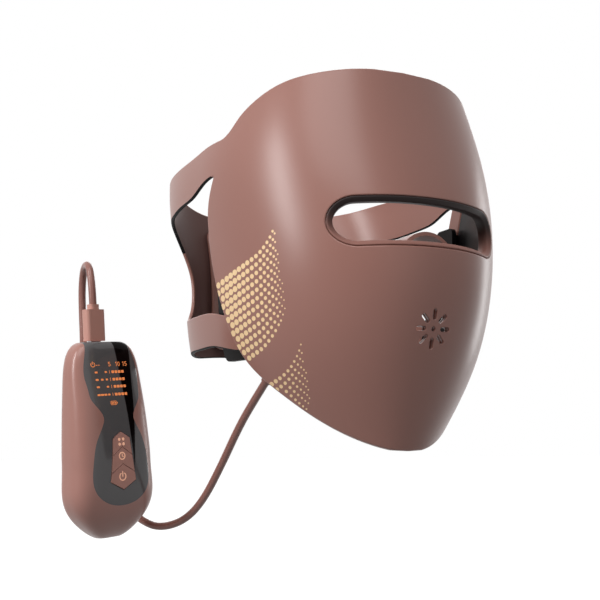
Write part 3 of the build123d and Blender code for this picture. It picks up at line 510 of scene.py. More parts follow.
def fill(loops, spacing):
    """Triangles of the region between loops, with a grid of points inside it."""
    flat = np.concatenate(loops)
    low, high = flat.min(0), flat.max(0)
    rows = np.arange(low[1], high[1], spacing * ROW_STEP)
    grid = []
    for i, y in enumerate(rows):
        xs = np.arange(low[0] + (i % 2) * spacing / 2, high[0], spacing)
        grid.append(np.c_[xs, np.full(len(xs), y)])
    grid = np.concatenate(grid)
    grid = grid[inside(grid, loops)]
    for loop in loops:
        gaps = [nearest_on(loop, grid[start : start + BATCH])[1] for start in range(0, len(grid), BATCH)]
        grid = grid[np.concatenate(gaps + [np.zeros(0)]) > spacing * EDGE_GAP]
    points = np.concatenate([flat, grid])
    edges = []
    first = 0
    for loop in loops:
        edges += [(first + i, first + (i + 1) % len(loop)) for i in range(len(loop))]
        first += len(loop)
    made = geometry.delaunay_2d_cdt([Vector(p) for p in points], edges, [], 0, 1e-6, True)
    verts = np.array([tuple(v) for v in made[0]])
    faces = np.array([f for f in made[2] if len(f) == 3])
    centres = verts[faces].mean(1)
    faces = faces[inside(centres, loops)]
    origin = [ids[0] if ids else -1 for ids in made[3]]
    back = {source: i for i, source in enumerate(origin) if source >= 0}
    order = np.array([back.get(i, -1) for i in range(len(flat))])
    return verts, faces, order


def spans(place, points, inset, reach):
    """Placed steps across and up, from a reach before each point to a reach past it."""
    across = place(points + (reach, 0), inset) - place(points - (reach, 0), inset)
    return across, place(points + (0, reach), inset) - place(points - (0, reach), inset)


def add_mesh(name, verts, faces, materials, face_slots=None):
    mesh = bpy.data.meshes.new(name)
    corners = [tuple(vert) for vert in np.asarray(verts) * MM]
    mesh.from_pydata(corners, [], [tuple(int(i) for i in face) for face in faces], shade_flat=False)
    for material in materials:
        mesh.materials.append(material)
    if face_slots is not None:
        mesh.polygons.foreach_set("material_index", np.asarray(face_slots, np.int32))
    mesh.update()
    return new_object(name, mesh)


def wall(
    name, place, loops, near, far, radius, materials, flat=None, spacing=3.0, steps=5,
    edge_slot=1, plain_edge=None, closest=0.25, squared=(),
):
    """Sheet of a thickness that follows a form, with rounded edges.

    place(points, inset) maps the flat points to the form. A loop inside another one is a hole.
    flat(points) marks edge points that stay square, for a seam with another piece.
    Material 0 is outside, edge_slot the edges and the last one inside. plain_edge(points) marks the
    edge points that keep the outside's material, and squared names the sides with sharp edges."""
    clean = []
    for i, loop in enumerate(loops):
        loop = tidy_loop(loop, closest)
        others = sum(inside(loop[:1], [other])[0] for k, other in enumerate(loops) if k != i)
        if (loop_area(loop) > 0) != (others % 2 == 0):
            loop = loop[::-1]
        clean.append(loop)
    ways = [inward_ways(loop) for loop in clean]
    squares = [flat(loop) if flat else np.zeros(len(loop), bool) for loop in clean]
    for loop, way, square in zip(clean, ways, squares):
        before, after = np.roll(square, 1), np.roll(square, -1)
        for i in np.flatnonzero(square & ~(before & after)):
            other = loop[(i + 1) % len(loop)] if after[i] else loop[i - 1]
            way[i] = (other - loop[i]) / np.linalg.norm(other - loop[i])
            square[i] = False
    turns = np.linspace(0, math.pi / 2, steps)
    profile = [(radius * (1 - math.sin(t)), near + radius * (1 - math.cos(t))) for t in turns]
    if "near" in squared:
        profile = [(radius, near), (0.0, near)]
    if "far" in squared:
        profile += [(0.0, far), (radius, far)]
    else:
        profile += [(radius * (1 - math.cos(t)), far - radius * (1 - math.sin(t))) for t in turns]
    soft = []
    for loop, square in zip(clean, squares):
        small = np.ptp(loop, axis=0).max() < 10 * radius
        soft.append(np.where(square, 0.0, 0.3 if small else 1.0)[:, None])
    rims = [loop + way * radius * s for loop, way, s in zip(clean, ways, soft)]
    verts2, faces2, order = fill(rims, spacing)
    total = len(verts2)
    verts = [place(verts2, near), place(verts2, far)]
    faces = [tuple(f) for f in faces2] + [tuple(f[::-1] + total) for f in faces2]
    slots = [0] * len(faces2) + [len(materials) - 1] * len(faces2)
    first = 0
    base = 2 * total
    for loop, way, s in zip(clean, ways, soft):
        count = len(loop)
        ring_ids = [order[first : first + count]]
        last_ids = order[first : first + count] + total
        for drawn, inset in profile[1:-1]:
            verts.append(place(loop + way * drawn * s, inset))
            ids = np.arange(base, base + count)
            for end_inset, end_ids in ((near, ring_ids[0]), (far, last_ids)):
                if inset == end_inset:
                    ids = np.where(s[:, 0] == 0, end_ids, ids)
            ring_ids.append(ids)
            base += count
        ring_ids.append(last_ids)
        for upper, lower in zip(ring_ids, ring_ids[1:]):
            plain = plain_edge(loop) if plain_edge else np.zeros(count, bool)
            for i in range(count):
                j = (i + 1) % count
                corners = tuple(dict.fromkeys((upper[i], lower[i], lower[j], upper[j])))
                if len(corners) > 2:
                    faces.append(corners)
                    slots.append(0 if plain[i] or plain[j] else edge_slot)
        first += count
    verts = np.concatenate(verts)
    made = add_mesh(name, verts, faces, materials, slots)
    mesh = made.data
    mesh.validate()
    normals = np.zeros(len(mesh.vertices) * 3, np.float32)
    mesh.vertices.foreach_get("normal", normals)
    normals = normals.reshape(-1, 3)
    for start, inset, sign in ((0, near, 1), (total, far, -1)):
        exact = unit(np.cross(*spans(place, verts2, inset, 0.3)))
        normals[start : start + total] = exact * sign
    mesh.normals_split_custom_set_from_vertices([tuple(n) for n in normals])
    return made


# Flat coordinates of the form: angle times a typical radius, and height
RADIUS = 88.0
# How far the straps tuck in at the temples, and how far the inner one lies inside the outer one
TUCK, STRAP_STEP = 4.4, 3.6


def to_flat(chain, rear_inset=0.0, tuck=0.0):
    """Flat places of a side-view chain."""
    return np.c_[angle_at_depth(chain[:, 0], chain[:, 1], rear_inset, tuck) * RADIUS, chain[:, 1]]


def front_flat(loop):
    """Flat places of a loop in front view."""
    return np.c_[angle_at_width(loop[:, 0], loop[:, 1]) * RADIUS, loop[:, 1]]


def both_halves(half):
    """Closed outline from its half, which starts at the top and ends at the bottom middle."""
    half[-1, 0] = 0
    return np.concatenate([half, half[-2:0:-1] * (-1, 1)])


# Outline of the mask in side view, in millimetres
def side_points(shares):
    return [(side_depth(a), level_height(b)) for a, b in shares]


TOP_EDGE = side_points(
    (
        (-0.749, 1.000), (-0.653, 0.967), (-0.505, 0.915), (-0.375, 0.820), (-0.298, 0.733),
        (-0.246, 0.655), (-0.205, 0.628),
    )
)
SIDE_EDGE = side_points(
    (
        (-0.100, 0.200), (-0.092, 0.030), (-0.119, -0.205), (-0.173, -0.366), (-0.278, -0.590),
        (-0.428, -0.744), (-0.581, -0.882), (-0.758, -1.000),
    )
)
SEAM, SEAM_SLACK, TEMPLE_LOW = -17.5, 0.01, 30
ROOT_TOP, ROOT_LOW, ROOT_IN = level_height(0.622), level_height(0.387), level_height(0.391)


def clip_front(chain):
    """Keeps the part of a side-view chain that lies on the form."""
    front = form_sizes(chain[:, 1], 0.0)[1]
    return chain[-chain[:, 0] <= front]


top_chain = clip_front(smooth_chain(TOP_EDGE + [(SEAM, ROOT_TOP)]))
side_chain = clip_front(smooth_chain([(SEAM, ROOT_LOW)] + SIDE_EDGE))
seam_line = straight((SEAM, ROOT_TOP), (SEAM, ROOT_LOW))
mask_half = to_flat(np.concatenate([top_chain, seam_line[1:-1], side_chain]))
mask_half[0, 0] = 0
mask_outline = both_halves(mask_half)


SLOT_TOP, SLOT_LOW, SLOT_ARCH, SLOT_HALF, SLOT_END, END_HEIGHT = 12.2, -13.9, 13.1, 39.2, 51.7, -1.0


def slot_loop(grow):
    """Eye slot's edge in flat coordinates, from its front view."""

    def arc(a, b, c):
        a, b, c = (complex(*p) for p in (a, b, c))
        w = (c - a) / (b - a)
        centre = a + (b - a) * (w - abs(w) ** 2) / (2j * w.imag)
        start, middle, end = (np.angle(p - centre) for p in (a, b, c))
        sweep = (end - start) % (2 * math.pi)
        if (middle - start) % (2 * math.pi) > sweep:
            sweep -= 2 * math.pi
        count = max(8, int(abs(sweep) * abs(a - centre) / 1.0))
        at = centre + abs(a - centre) * np.exp(1j * (start + sweep * np.linspace(0, 1, count)))
        return np.c_[at.real, at.imag]

    top, low, arch, end = SLOT_TOP + grow, SLOT_LOW - grow, SLOT_ARCH + grow, SLOT_END + grow
    parts = (
        arc((-SLOT_HALF, top), (0, arch), (SLOT_HALF, top)),
        arc((SLOT_HALF, top), (end, END_HEIGHT), (SLOT_HALF, low)),
        arc((SLOT_HALF, low), (0, -arch), (-SLOT_HALF, low)),
        arc((-SLOT_HALF, low), (-end, END_HEIGHT), (-SLOT_HALF, top)),
    )
    return front_flat(tidy_loop(np.concatenate(parts)))


VENT_HEIGHT, VENT_HOLE, VENT_RING, VENT_SLOTS, VENT_LAND = -54.0, 1.2, 7.2, 8, 13.5
VENT_ROUND, VENT_HALF = 1.1, 1.7


def on_circle(turns):
    return np.c_[np.cos(turns), np.sin(turns)]


def circle(radius, count):
    return radius * on_circle(np.linspace(0, 2 * math.pi, count + 1)[:-1])


def vent_loops():
    """Ring of rounded slots round a small hole, as flat loops."""
    loops = [circle(VENT_HOLE, 24)]
    cap = VENT_ROUND * on_circle(np.linspace(-math.pi / 2, math.pi / 2, 9)) + (VENT_HALF, 0)
    shape = np.concatenate([cap, -cap]) + (VENT_RING, 0)
    for k in range(VENT_SLOTS):
        way = k * 2 * math.pi / VENT_SLOTS
        c, s = math.cos(way), math.sin(way)
        loops.append(shape @ np.array(((c, s), (-s, c))))
    return [front_flat(loop + (0, VENT_HEIGHT)) for loop in loops]


def on_form(points, inset, rear_inset=0.0, tuck=0.0):
    return form_point(points[:, 0] / RADIUS, points[:, 1], inset, rear_inset, tuck)


def on_strap(points, inset):
    return on_form(points, inset, 0.0, TUCK)


def on_inner_strap(points, inset):
    return on_form(points, inset, STRAP_STEP, TUCK)


def on_seam(loop):
    return np.abs(on_form(loop, 0.0)[:, 1] - SEAM) < SEAM_SLACK


def at_temple(loop):
    return on_seam(loop) & (loop[:, 1] > TEMPLE_LOW)


def finish_piece(piece, body, node):
    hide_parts(*([node] if isinstance(node, str) else node))
    if body:
        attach(piece, body)


SKIN_DEPTH, LAYER_START, SHELL_DEPTH, SHELL_ROUND, SLOT_LAND = 1.8, 1.7, 4.0, 0.9, 4.0
# Side view of the pocket for the circuit and the lens
POCKET_TOP = side_points(
    (
        (-0.767, 0.862), (-0.686, 0.835), (-0.615, 0.814), (-0.555, 0.791), (-0.502, 0.760),
        (-0.448, 0.717), (-0.400, 0.669), (-0.364, 0.616), (-0.269, 0.511),
    )
)
POCKET_SIDE = side_points(
    (
        (-0.247, 0.306), (-0.203, 0.137), (-0.205, -0.068), (-0.239, -0.231), (-0.303, -0.405),
        (-0.378, -0.546), (-0.504, -0.671), (-0.645, -0.798), (-0.786, -0.897),
    )
)
pocket_top = smooth_chain(POCKET_TOP)
pocket_side = clip_front(smooth_chain(POCKET_SIDE))
pocket_between = straight(pocket_top[-1], pocket_side[0])[1:-1]
pocket_half = to_flat(np.concatenate([pocket_top, pocket_between, pocket_side]))
pocket_start = straight((0, pocket_half[0, 1]), pocket_half[0])[:-1]
pocket_outline = both_halves(np.concatenate([pocket_start, pocket_half]))
slot_land = [slot_loop(SLOT_LAND), slot_loop(0.0)]
vent_land = [front_flat(circle(VENT_LAND, 60) + (0, VENT_HEIGHT))] + vent_loops()

for name, loops, near, far, squared in (
    ("face_shell_skin", [mask_outline, slot_loop(0.0)] + vent_loops(), 0.0, SKIN_DEPTH, ("far",)),
    ("face_rim_skin", [mask_outline, pocket_outline], LAYER_START, SHELL_DEPTH, ("near",)),
    ("slot_land_skin", slot_land, LAYER_START, SHELL_DEPTH, ("near",)),
    ("vent_land_skin", vent_land, LAYER_START, SHELL_DEPTH, ("near",)),
):
    skins = [SILICONE] * 3
    shell = wall(name, on_form, loops, near, far, SHELL_ROUND, skins, flat=on_seam, squared=squared)
    finish_piece(shell, "mask", "face_shell")

# Straps: temple band, back panel and nape band round the ear gap
STRAP_TOP = side_points(
    (
        (-0.023, 0.613), (0.102, 0.593), (0.259, 0.578), (0.454, 0.568), (0.648, 0.553), (0.787, 0.524),
        (0.889, 0.484), (0.944, 0.426), (1.037, 0.392),
    )
)
STRAP_LOW = side_points(
    (
        (1.037, -0.484), (0.852, -0.488), (0.750, -0.505), (0.565, -0.501), (0.269, -0.497),
        (0.079, -0.497), (-0.069, -0.518),
    )
)
EAR_GAP = side_points(
    (
        (-0.085, -0.356), (0.028, -0.337), (0.231, -0.330), (0.491, -0.329), (0.595, -0.313),
        (0.673, -0.246), (0.702, -0.162), (0.715, -0.073), (0.713, 0.009), (0.697, 0.108),
        (0.648, 0.212), (0.574, 0.253), (0.454, 0.265), (0.324, 0.279), (0.194, 0.293), (0.093, 0.311),
        (0.028, 0.338), (-0.054, 0.372), (-0.117, 0.387),
    )
)
TAB_TOP, TAB_LOW, TAB_END, TAB_ROUND = level_height(-0.365), level_height(-0.531), -34.0, 5.0
TAIL_ROUND, TURN_WIDTH, TAIL_START, OUTER_END, INNER_END = 9.0, 42.0, 41.0, -28.0, -40.0
STRAP_DEPTH, STRAP_ROUND = 2.0, 0.8


def quarter(centre, radius, start, count=9):
    """Quarter circle from a start angle in degrees, anticlockwise for a positive radius."""
    turns = np.radians(start) + np.sign(radius) * np.linspace(0, math.pi / 2, count)
    return np.asarray(centre) + abs(radius) * on_circle(turns)


def rear_depth(x, z, rear_inset):
    """Depth of a strap's form at the back, at a width and a height."""
    width, _, rear, _ = form_sizes(z, 0.0, rear_inset, TUCK)
    return rear * (1 - (np.abs(x) / width) ** REAR_POWER) ** (1 / REAR_POWER)


def rear_flat(points, rear_inset):
    """Flat places of points given by width and height on the back of the form."""
    x, z = np.asarray(points, float).T
    angle = np.arctan2(np.abs(x), -rear_depth(x, z, rear_inset))
    return np.c_[np.where(x >= 0, angle, 2 * math.pi - angle) * RADIUS, z]


def edge_height(chain, x, rear_inset):
    """Height at which a side-view chain crosses a width at the back."""
    z = 0.0
    order = np.argsort(chain[:, 0])
    for _ in range(6):
        y = rear_depth(x, z, rear_inset)
        z = float(np.interp(y, chain[order, 0], chain[order, 1]))
    return z


def strap_outline(rear_inset, tail):
    """Outline of a strap on the +X side. tail lists the end's corners by width and height."""
    top = smooth_chain([(SEAM, ROOT_TOP)] + STRAP_TOP)
    low = smooth_chain(STRAP_LOW + [(SEAM, TAB_LOW)])
    gap = smooth_chain([(SEAM, TAB_TOP)] + EAR_GAP + [(SEAM, ROOT_IN)])
    parts = []
    for chain in (top, low):
        flat = to_flat(chain, rear_inset, TUCK)
        parts.append(flat[flat[:, 0] < rear_flat([(TURN_WIDTH, chain[-1, 1])], rear_inset)[0, 0]])
    tail_flat = rear_flat(tail(top, low), rear_inset)
    tab = TAB_END + TAB_ROUND
    rest = np.concatenate(
        [
            straight((SEAM, TAB_LOW), (tab, TAB_LOW))[1:],
            quarter((tab, TAB_LOW + TAB_ROUND), -TAB_ROUND, 270),
            quarter((tab, TAB_TOP - TAB_ROUND), -TAB_ROUND, 180),
            straight((tab, TAB_TOP), (SEAM, TAB_TOP))[:-1],
            gap,
            straight((SEAM, ROOT_IN), (SEAM, ROOT_TOP))[1:],
        ]
    )
    return np.concatenate([parts[0], tail_flat, parts[1], to_flat(rest, rear_inset, TUCK)])


def outer_tail(top, low):
    xs = np.linspace(TAIL_START, OUTER_END + TAIL_ROUND, 50)
    upper = [(x, edge_height(top, x, 0.0)) for x in xs]
    lower = [(x, edge_height(low, x, 0.0)) for x in xs[::-1]]
    ends = quarter((xs[-1], upper[-1][1] - TAIL_ROUND), TAIL_ROUND, 90)
    feet = quarter((xs[-1], lower[0][1] + TAIL_ROUND), TAIL_ROUND, 180)
    return np.concatenate([upper, ends[1:], straight(ends[-1], feet[0], 2.0)[1:-1], feet[:-1], lower])


def inner_tail(top, low):
    top_height, low_height = 28.5, -52.0
    xs = np.linspace(TAIL_START, 32.0, 8)
    upper = [(x, edge_height(top, x, STRAP_STEP)) for x in xs]
    lower = [(x, edge_height(low, x, STRAP_STEP)) for x in xs[::-1]]
    ends = quarter((INNER_END + TAIL_ROUND, top_height - TAIL_ROUND), TAIL_ROUND, 90)
    feet = quarter((INNER_END + TAIL_ROUND, low_height + TAIL_ROUND), TAIL_ROUND, 180)
    over, under = straight((16.5, top_height), ends[0])[:-1], straight(feet[-1], (16.5, low_height))[1:]
    upright = straight(ends[-1], feet[0], 2.0)[1:-1]
    ease = (np.cos(np.linspace(0, math.pi, 12)) + 1) / 2
    upper_step = np.c_[np.linspace(31.0, 18.0, 12), top_height + (upper[-1][1] - top_height) * ease]
    lower_step = np.c_[np.linspace(18.0, 31.0, 12), low_height + (lower[0][1] - low_height) * (1 - ease)]
    return np.concatenate([upper, upper_step, over, ends, upright, feet, under, lower_step, lower])


TOP_BROWN, PANEL_LOW, PANEL_TOP, END_ANGLE = 33.8, -45, 6, math.pi + 0.03


def brown_edge(loop):
    """Edges that are not black: the top, the panel's upright edges and the tail's end."""
    angle, z = np.abs(loop[:, 0]) / RADIUS, loop[:, 1]
    return (z > TOP_BROWN) | ((z > PANEL_LOW) & (z < PANEL_TOP)) | (angle > END_ANGLE)


# The right strap's inner face takes the painted-shade silicone, the left strap's inner face the plain one
for side, sign, lining, place, rear_inset, tail, node_names in (
    ("right", -1, PAINTED_SHADE_SILICONE, on_strap, 0.0, outer_tail, ("strap_right", "nape_tab_right")),
    ("left", 1, SILICONE, on_inner_strap, STRAP_STEP, inner_tail, ("strap_left", "nape_tab_left")),
):
    outline = strap_outline(rear_inset, tail) * (sign, 1)
    skins = [SILICONE, EDGE_BLACK, lining]
    strap = wall(
        f"strap_{side}_skin", place, [outline], 0.0, STRAP_DEPTH, STRAP_ROUND, skins,
        flat=at_temple, plain_edge=brown_edge,
    )
    finish_piece(strap, None, node_names)
    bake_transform(strap)


def ring(name, place, loop, profile, materials):
    """Closed moulding along a flat loop. profile lists the growth and the inset of its section."""
    loop = anticlockwise(tidy_loop(loop))
    ways = inward_ways(loop)
    count, lines = len(loop), len(profile)
    verts = np.concatenate([place(loop - ways * grow, inset) for grow, inset in profile])
    faces = []
    for k in range(lines):
        for i in range(count):
            j, m = (i + 1) % count, (k + 1) % lines
            faces.append((k * count + i, k * count + j, m * count + j, m * count + i))
    return add_mesh(name, verts, faces, materials)


RIM_SECTION = (
    (-0.1, 6.9), (-0.1, 0.7), (-0.25, 0.3), (-0.6, 0.1), (-1.0, 0.2), (-1.3, 0.45),
    (-2.6, 1.8), (-2.9, 2.2), (-3.0, 2.7), (-3.0, 6.5), (-2.7, 6.9),
)
slot_rim = ring("slot_rim_skin", on_form, slot_loop(0.0), RIM_SECTION, [RIM])
finish_piece(slot_rim, "mask", "eye_slot_rim")


# Printed dots on both cheeks, laid out flat and then wrapped on the form
def dot_rows():
    """Flat places and radii of one cheek's dots, in two fading fields."""
    upper_tops = (
        (-72.6, -3.2), (-74.2, -6.0), (-76.1, -8.5), (-78.3, -10.8), (-80.7, -12.9), (-83.6, -14.7),
        (-86.8, -16.1), (-90.2, -17.4), (-93.6, -18.7), (-97.3, -19.9), (-101.2, -21.2),
        (-105.3, -22.4), (-109.5, -23.7), (-114.3, -24.9), (-119.4, -26.1),
    )
    lower_tops = (
        (-59.3, -61.3), (-60.4, -64.2), (-61.9, -66.9), (-63.8, -69.5), (-65.9, -71.9), (-68.4, -74.0),
        (-71.4, -75.9), (-74.8, -77.5), (-78.4, -78.9), (-82.3, -80.3),
    )
    upper_radii = (0.4, 0.5, 0.62, 0.78, 0.9, 0.98, 1.07, 1.15, 1.25, 1.35, 1.45, 1.55, 1.65, 1.75, 1.82)
    upper_radii += (1.85, 1.85, 1.85)
    lower_radii = (0.45, 0.5, 0.57, 0.66, 0.76, 0.85, 0.95, 1.05, 1.15, 1.3, 1.45)
    upper_short = (
        (1, -71.4, -4.5, -69.7, -48.8), (4, -69.9, -15.3, -68.3, -45.9), (8, -67.8, -30.3, -67.0, -42.9),
    )
    lower_short = ((4, -57.4, -75.3, -56.6, -88.0),)
    dots = []
    for tops, rows, drift, ease, drop, radii, extra in (
        (upper_tops, 11, 1.3, 0.6, 47.6, upper_radii, upper_short),
        (lower_tops, 7, 1.7, 0.5, 29.2, lower_radii, lower_short),
    ):
        first = len(extra)
        for k, (u, z) in enumerate(tops):
            for row in range(rows + 1):
                share = row / rows
                dots.append((u + (drift - ease * k) * share, z - drop * share, radii[k + first]))
        for k, (start, u0, z0, u1, z1) in enumerate(extra):
            for row in range(start, rows + 1):
                share = (row - start) / (rows - start)
                dots.append((u0 + (u1 - u0) * share, z0 + (z1 - z0) * share, radii[first - 1 - k]))
    return np.array(dots)


DOT_SIDES, DOT_HEIGHT, DOT_TOP, DOT_FOOT, MIDDLE_MARGIN, EDGE_MARGIN = 20, 0.16, -0.05, 0.1, 0.8, 0.7


def dot_modifier():
    """Geometry nodes that set a scaled disc on each point, and the names of their values."""
    tree = bpy.data.node_groups.new("dot_field", "GeometryNodeTree")
    flow = ("Geometry", "Geometry")
    values = add_sockets(tree, "INPUT", flow, ("Sides", "Int"), ("Height", "Float"), ("Material", "Material"))
    add_sockets(tree, "OUTPUT", flow)
    given, result = add_node(tree, "NodeGroupInput"), add_node(tree, "NodeGroupOutput")
    to_points = add_node(tree, "GeometryNodeMeshToPoints")
    disc = add_node(tree, "GeometryNodeMeshCylinder", Radius=1.0)
    disc.fill_type = "NGON"
    size = add_node(tree, "GeometryNodeInputNamedAttribute", Name="size")
    size.data_type = "FLOAT_VECTOR"
    spread = add_node(tree, "GeometryNodeInstanceOnPoints")
    real = add_node(tree, "GeometryNodeRealizeInstances")
    skin = add_node(tree, "GeometryNodeSetMaterial")
    join(
        tree,
        (given, "Geometry", to_points, "Mesh"),
        (given, "Sides", disc, "Vertices"),
        (given, "Height", disc, "Depth"),
        (to_points, "Points", spread, "Points"),
        (disc, "Mesh", spread, "Instance"),
        (size, "Attribute", spread, "Scale"),
        (spread, "Instances", real, "Geometry"),
        (real, "Geometry", skin, "Geometry"),
        (given, "Material", skin, "Material"),
        (skin, "Geometry", result, "Geometry"),
    )
    return tree, [value.identifier for value in values[1:]]


def held_inside(points, loop, margin):
    """Flat points outside a loop, or within a margin of it, moved in to the margin."""
    inner = loop + inward_ways(loop) * margin
    held = points.copy()
    out = ~inside(points, [inner])
    if out.any():
        held[out] = nearest_on(inner, points[out])[0]
    return held


def make_dots():
    dots = dot_rows()
    outline = anticlockwise(tidy_loop(mask_outline))
    dots = dots[inside(dots[:, :2], [outline + inward_ways(outline) * MIDDLE_MARGIN])]
    dots = np.concatenate([dots, dots * (-1, 1, 1)])
    stretch = np.stack([np.linalg.norm(span, axis=1) for span in spans(on_form, dots[:, :2], 0.0, 0.5)], 1)
    mesh = bpy.data.meshes.new("dot_points")
    mesh.from_pydata([(u, z, 0.0) for u, z, _ in dots], [], [])
    sizes = mesh.attributes.new("size", "FLOAT_VECTOR", "POINT")
    ramp = np.clip((dots[:, 2] - 0.6) / 1.2, 0, 1)
    values = dots[:, 2:] * np.c_[1 + 0.2 * ramp, 1 - 0.08 * ramp] / stretch
    sizes.data.foreach_set("vector", np.c_[values, np.ones(len(dots))].astype(np.float32).ravel())
    holder = new_object("dot_points", mesh)
    field = holder.modifiers.new("dots", "NODES")
    field.node_group, names = dot_modifier()
    for name, value in zip(names, (DOT_SIDES, DOT_HEIGHT, DOT)):
        field[name] = value
    graph = bpy.context.evaluated_depsgraph_get()
    flat_mesh = bpy.data.meshes.new_from_object(holder.evaluated_get(graph))
    bpy.data.objects.remove(holder)
    count = len(flat_mesh.vertices)
    co = np.zeros(count * 3, np.float32)
    flat_mesh.vertices.foreach_get("co", co)
    co = co.reshape(-1, 3).astype(float)
    placed = on_form(held_inside(co[:, :2], outline, EDGE_MARGIN), np.where(co[:, 2] > 0, DOT_TOP, DOT_FOOT))
    flat_mesh.vertices.foreach_set("co", (placed * MM).astype(np.float32).ravel())
    flat_mesh.update()
    made = new_object("cheek_dots", flat_mesh)
    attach(made, "mask")


make_dots()


# Marks on the controller, drawn in its own front view and set on its surface
RAY_START, MISS_DEPTH, MARK_TOP, MARK_FOOT, MARK_ROUND = -40.0, -12.0, -0.05, 0.12, 0.02


def surface_tree(name):
    mesh = nodes[name].data
    verts = [tuple(v.co) for v in mesh.vertices]
    return BVHTree.FromPolygons(verts, [tuple(polygon.vertices) for polygon in mesh.polygons])


def on_surface(tree):
    """Place function for the front of a controller's piece."""

    def place(points, inset):
        out = np.zeros((len(points), 3))
        for i, (x, z) in enumerate(points):
            start = case_point(float(x), RAY_START, float(z))
            hit, _, _, far = tree.ray_cast(start, -front_way)
            depth = RAY_START + far / MM if hit is not None else MISS_DEPTH
            out[i] = case_point(float(x), depth + inset, float(z)) / MM
        return out

    return place


def stroke(points, width, closed=False):
    """Outline of a line of a width with round ends through 2-D points."""
    points = np.asarray(points, float)
    half = width / 2
    if closed:
        points = anticlockwise(points)
        ways = inward_ways(points)
        return [points - ways * half, points + ways * half]
    ahead = unit(np.diff(points, axis=0))
    along = unit(np.r_[ahead[:1], ahead[:-1] + ahead[1:], ahead[-1:]])
    half_turn = np.sum(along * np.r_[ahead[:1], ahead], axis=1)
    way = np.c_[-along[:, 1], along[:, 0]] / half_turn[:, None] * half
    caps = []
    for at, heading in ((points[-1], ahead[-1]), (points[0], -ahead[0])):
        turns = np.linspace(-math.pi / 2, math.pi / 2, 7)[1:-1]
        side_way = np.array((-heading[1], heading[0]))
        caps.append(at + half * (np.cos(turns)[:, None] * heading + np.sin(turns)[:, None] * side_way))
    return [np.concatenate([points - way, caps[0], (points + way)[::-1], caps[1]])]


def circle_line(x, z, radius, start, end, count=20):
    return radius * on_circle(np.radians(np.linspace(start, end, count))) + (x, z)


def bar(x, z, width, height, corner=0.25):
    """Rounded bar round a centre."""
    loop = []
    for start, sx, sz in ((0, 1, 1), (90, -1, 1), (180, -1, -1), (270, 1, -1)):
        centre = (x + sx * (width / 2 - corner), z + sz * (height / 2 - corner))
        loop.append(quarter(centre, corner, start, 4))
    return [np.concatenate(loop)]


ONE = ((-0.35, 0.75), (0.1, 1.1), (0.1, -1.1))
FIVE = (
    (0.6, 1.1), (-0.5, 1.1), (-0.6, 0.15), (0.1, 0.3), (0.6, -0.1), (0.6, -0.7), (0.1, -1.1), (-0.6, -0.9),
)
ZERO = circle(1.0, 16) * (0.62, 1.1)


def power_sign(x, z, radius, width):
    bow = stroke(circle_line(x, z, radius, 125, 415), width)
    return bow + stroke([(x, z + 1.25 * radius), (x, z + 0.1)], width)


def display_marks():
    top, line, dash, low = 43.0, 0.36, 42.6, 21.1
    loops = power_sign(-12.3, top, 1.25, line)
    loops += stroke([(-10.2, dash), (-9.6, dash)], line) + stroke([(-8.9, dash), (-8.2, dash)], line)
    for shapes, x in (((FIVE,), -1.4), ((ONE, ZERO), 4.2), ((ONE, FIVE), 9.2)):
        for i, shape in enumerate(shapes):
            at = x + (i - (len(shapes) - 1) / 2) * 1.75
            loops += stroke(np.asarray(shape) + (at, top), line, closed=shape is ZERO)
    for z, left_bars in (
        (38.6, ((-10.9, 1.8),)),
        (34.4, ((-10.9, 1.8), (-7.6, 1.6))),
        (30.3, ((-10.9, 1.8),)),
        (25.9, ((-11.2, 1.9), (-9.0, 1.9), (-6.8, 1.9))),
    ):
        for x, width in left_bars + ((-4.5, 1.5),):
            loops += bar(x, z, width, 1.0)
        loops += bar(-2.0, z, 0.28, 1.9, 0.1)
        for k in range(4):
            loops += bar(0.3 + 2.25 * k, z, 1.75, 1.5)
    loops += stroke(bar(-2.3, low, 3.9, 2.0, 0.5)[0], 0.3, closed=True)
    loops += bar(0.15, low, 0.4, 0.9, 0.15)
    for k in range(3):
        loops += bar(-3.4 + 1.1 * k, low, 0.7, 1.1, 0.2)
    return loops


def mode_sign():
    """Four small lamps in a square."""
    loops = []
    for x in (-1.35, 1.35):
        for z in (-1.35, 1.35):
            loops.append(circle_line(x - 0.2, z - 0.7, 0.85, 0, 342))
    return loops


def timer_sign():
    x, z = -0.4, -8.6
    dial = stroke(circle_line(x, z, 1.9, 0, 346, 26), 0.6, closed=True)
    return dial + stroke([(x, z + 1.05), (x, z - 0.05), (x + 0.8, z - 0.5)], 0.5)


for name, loops, carrier, body, material in (
    ("display_marks", display_marks(), "window", "controller", GLOW),
    ("mode_mark", mode_sign(), "mode_button", "mode_key", ICON),
    ("timer_mark", timer_sign(), "timer_button", "timer_key", ICON),
    ("power_mark", power_sign(-0.6, -20.0, 2.1, 0.62), "power_button", "power_key", ICON),
):
    place = on_surface(surface_tree(carrier))
    marks = wall(
        name, place, loops, MARK_TOP, MARK_FOOT, MARK_ROUND, [material],
        spacing=0.7, steps=2, edge_slot=0, closest=0.02,
    )
    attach(marks, body)


# World, floor and lamps
def direct_rays(tree):
    """1 for rays from the camera, off gloss or through glass, and 0 for the light on the object."""
    rays = add_node(tree, "ShaderNodeLightPath")
    seen = rays.outputs["Is Camera Ray"]
    for name in ("Is Glossy Ray", "Is Transmission Ray"):
        most = add_node(tree, "ShaderNodeMath", "MAXIMUM")
        tree.links.new(seen, most.inputs[0])
        tree.links.new(rays.outputs[name], most.inputs[1])
        seen = most.outputs[0]
    return seen


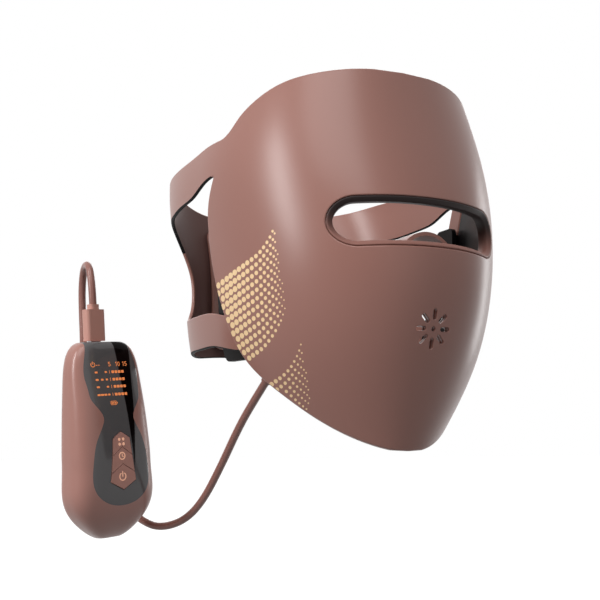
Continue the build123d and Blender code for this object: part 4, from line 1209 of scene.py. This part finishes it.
scene = bpy.context.scene
scene.view_settings.view_transform = "Standard"
world = bpy.data.worlds.new("studio")
scene.world = world
world.use_nodes = True
tree = world.node_tree
tree.nodes.clear()
sky_out = add_node(tree, "ShaderNodeOutputWorld")
pick = add_node(tree, "ShaderNodeMixShader")
tree.links.new(direct_rays(tree), pick.inputs[0])
for i, strength in enumerate((0.1, 1.0)):
    background = add_node(tree, "ShaderNodeBackground", Color=(1, 1, 1, 1), Strength=strength)
    join(tree, (background, 0, pick, i + 1))
join(tree, (pick, 0, sky_out, 0))


def area_lamp(name, place, size, power):
    lamp = bpy.data.lights.new(name, "AREA")
    lamp.shape = "RECTANGLE"
    lamp.size, lamp.size_y = size
    lamp.energy = power
    made = new_object(name, lamp)
    made.location = place
    made.rotation_euler = (-Vector(place)).to_track_quat("-Z", "Y").to_euler()


area_lamp("key", (-0.7, -0.9, 1.45), (1.3, 1.3), 18.0)
area_lamp("strip_left", (-1.3, -0.07, 0.5), (0.3, 0.8), 12.0)
area_lamp("strip_right", (1.2, 0.25, 0.1), (0.2, 0.8), 2.6)
area_lamp("fill", (0.1, -1.3, 0.25), (1.0, 0.8), 0.6)
area_lamp("back_fill", (0.7, 1.2, 0.7), (1.0, 1.0), 7.0)


def make_floor():
    made, tree, shader = node_material("floor_paint")
    shader.inputs["Base Color"].default_value = (0.16, 0.16, 0.16, 1)
    shader.inputs["Roughness"].default_value = 0.9
    shader.inputs["Emission Color"].default_value = (1, 1, 1, 1)
    glow = add_node(tree, "ShaderNodeMath", "MULTIPLY")
    glow.inputs[1].default_value = 0.96
    tree.links.new(direct_rays(tree), glow.inputs[0])
    join(tree, (glow, 0, shader, "Emission Strength"))
    mesh = bpy.data.meshes.new("floor")
    reach, level = 6.0, -0.24
    corners = [(x * reach, y * reach, level) for x, y in ((-1, -1), (1, -1), (1, 1), (-1, 1))]
    mesh.from_pydata(corners, [], [(0, 1, 2, 3)])
    mesh.materials.append(made)
    floor = new_object("floor", mesh)
    floor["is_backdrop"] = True


make_floor()

final_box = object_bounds()
[[list(map(float, corner)) for corner in box] for box in (cad_box, final_box)]
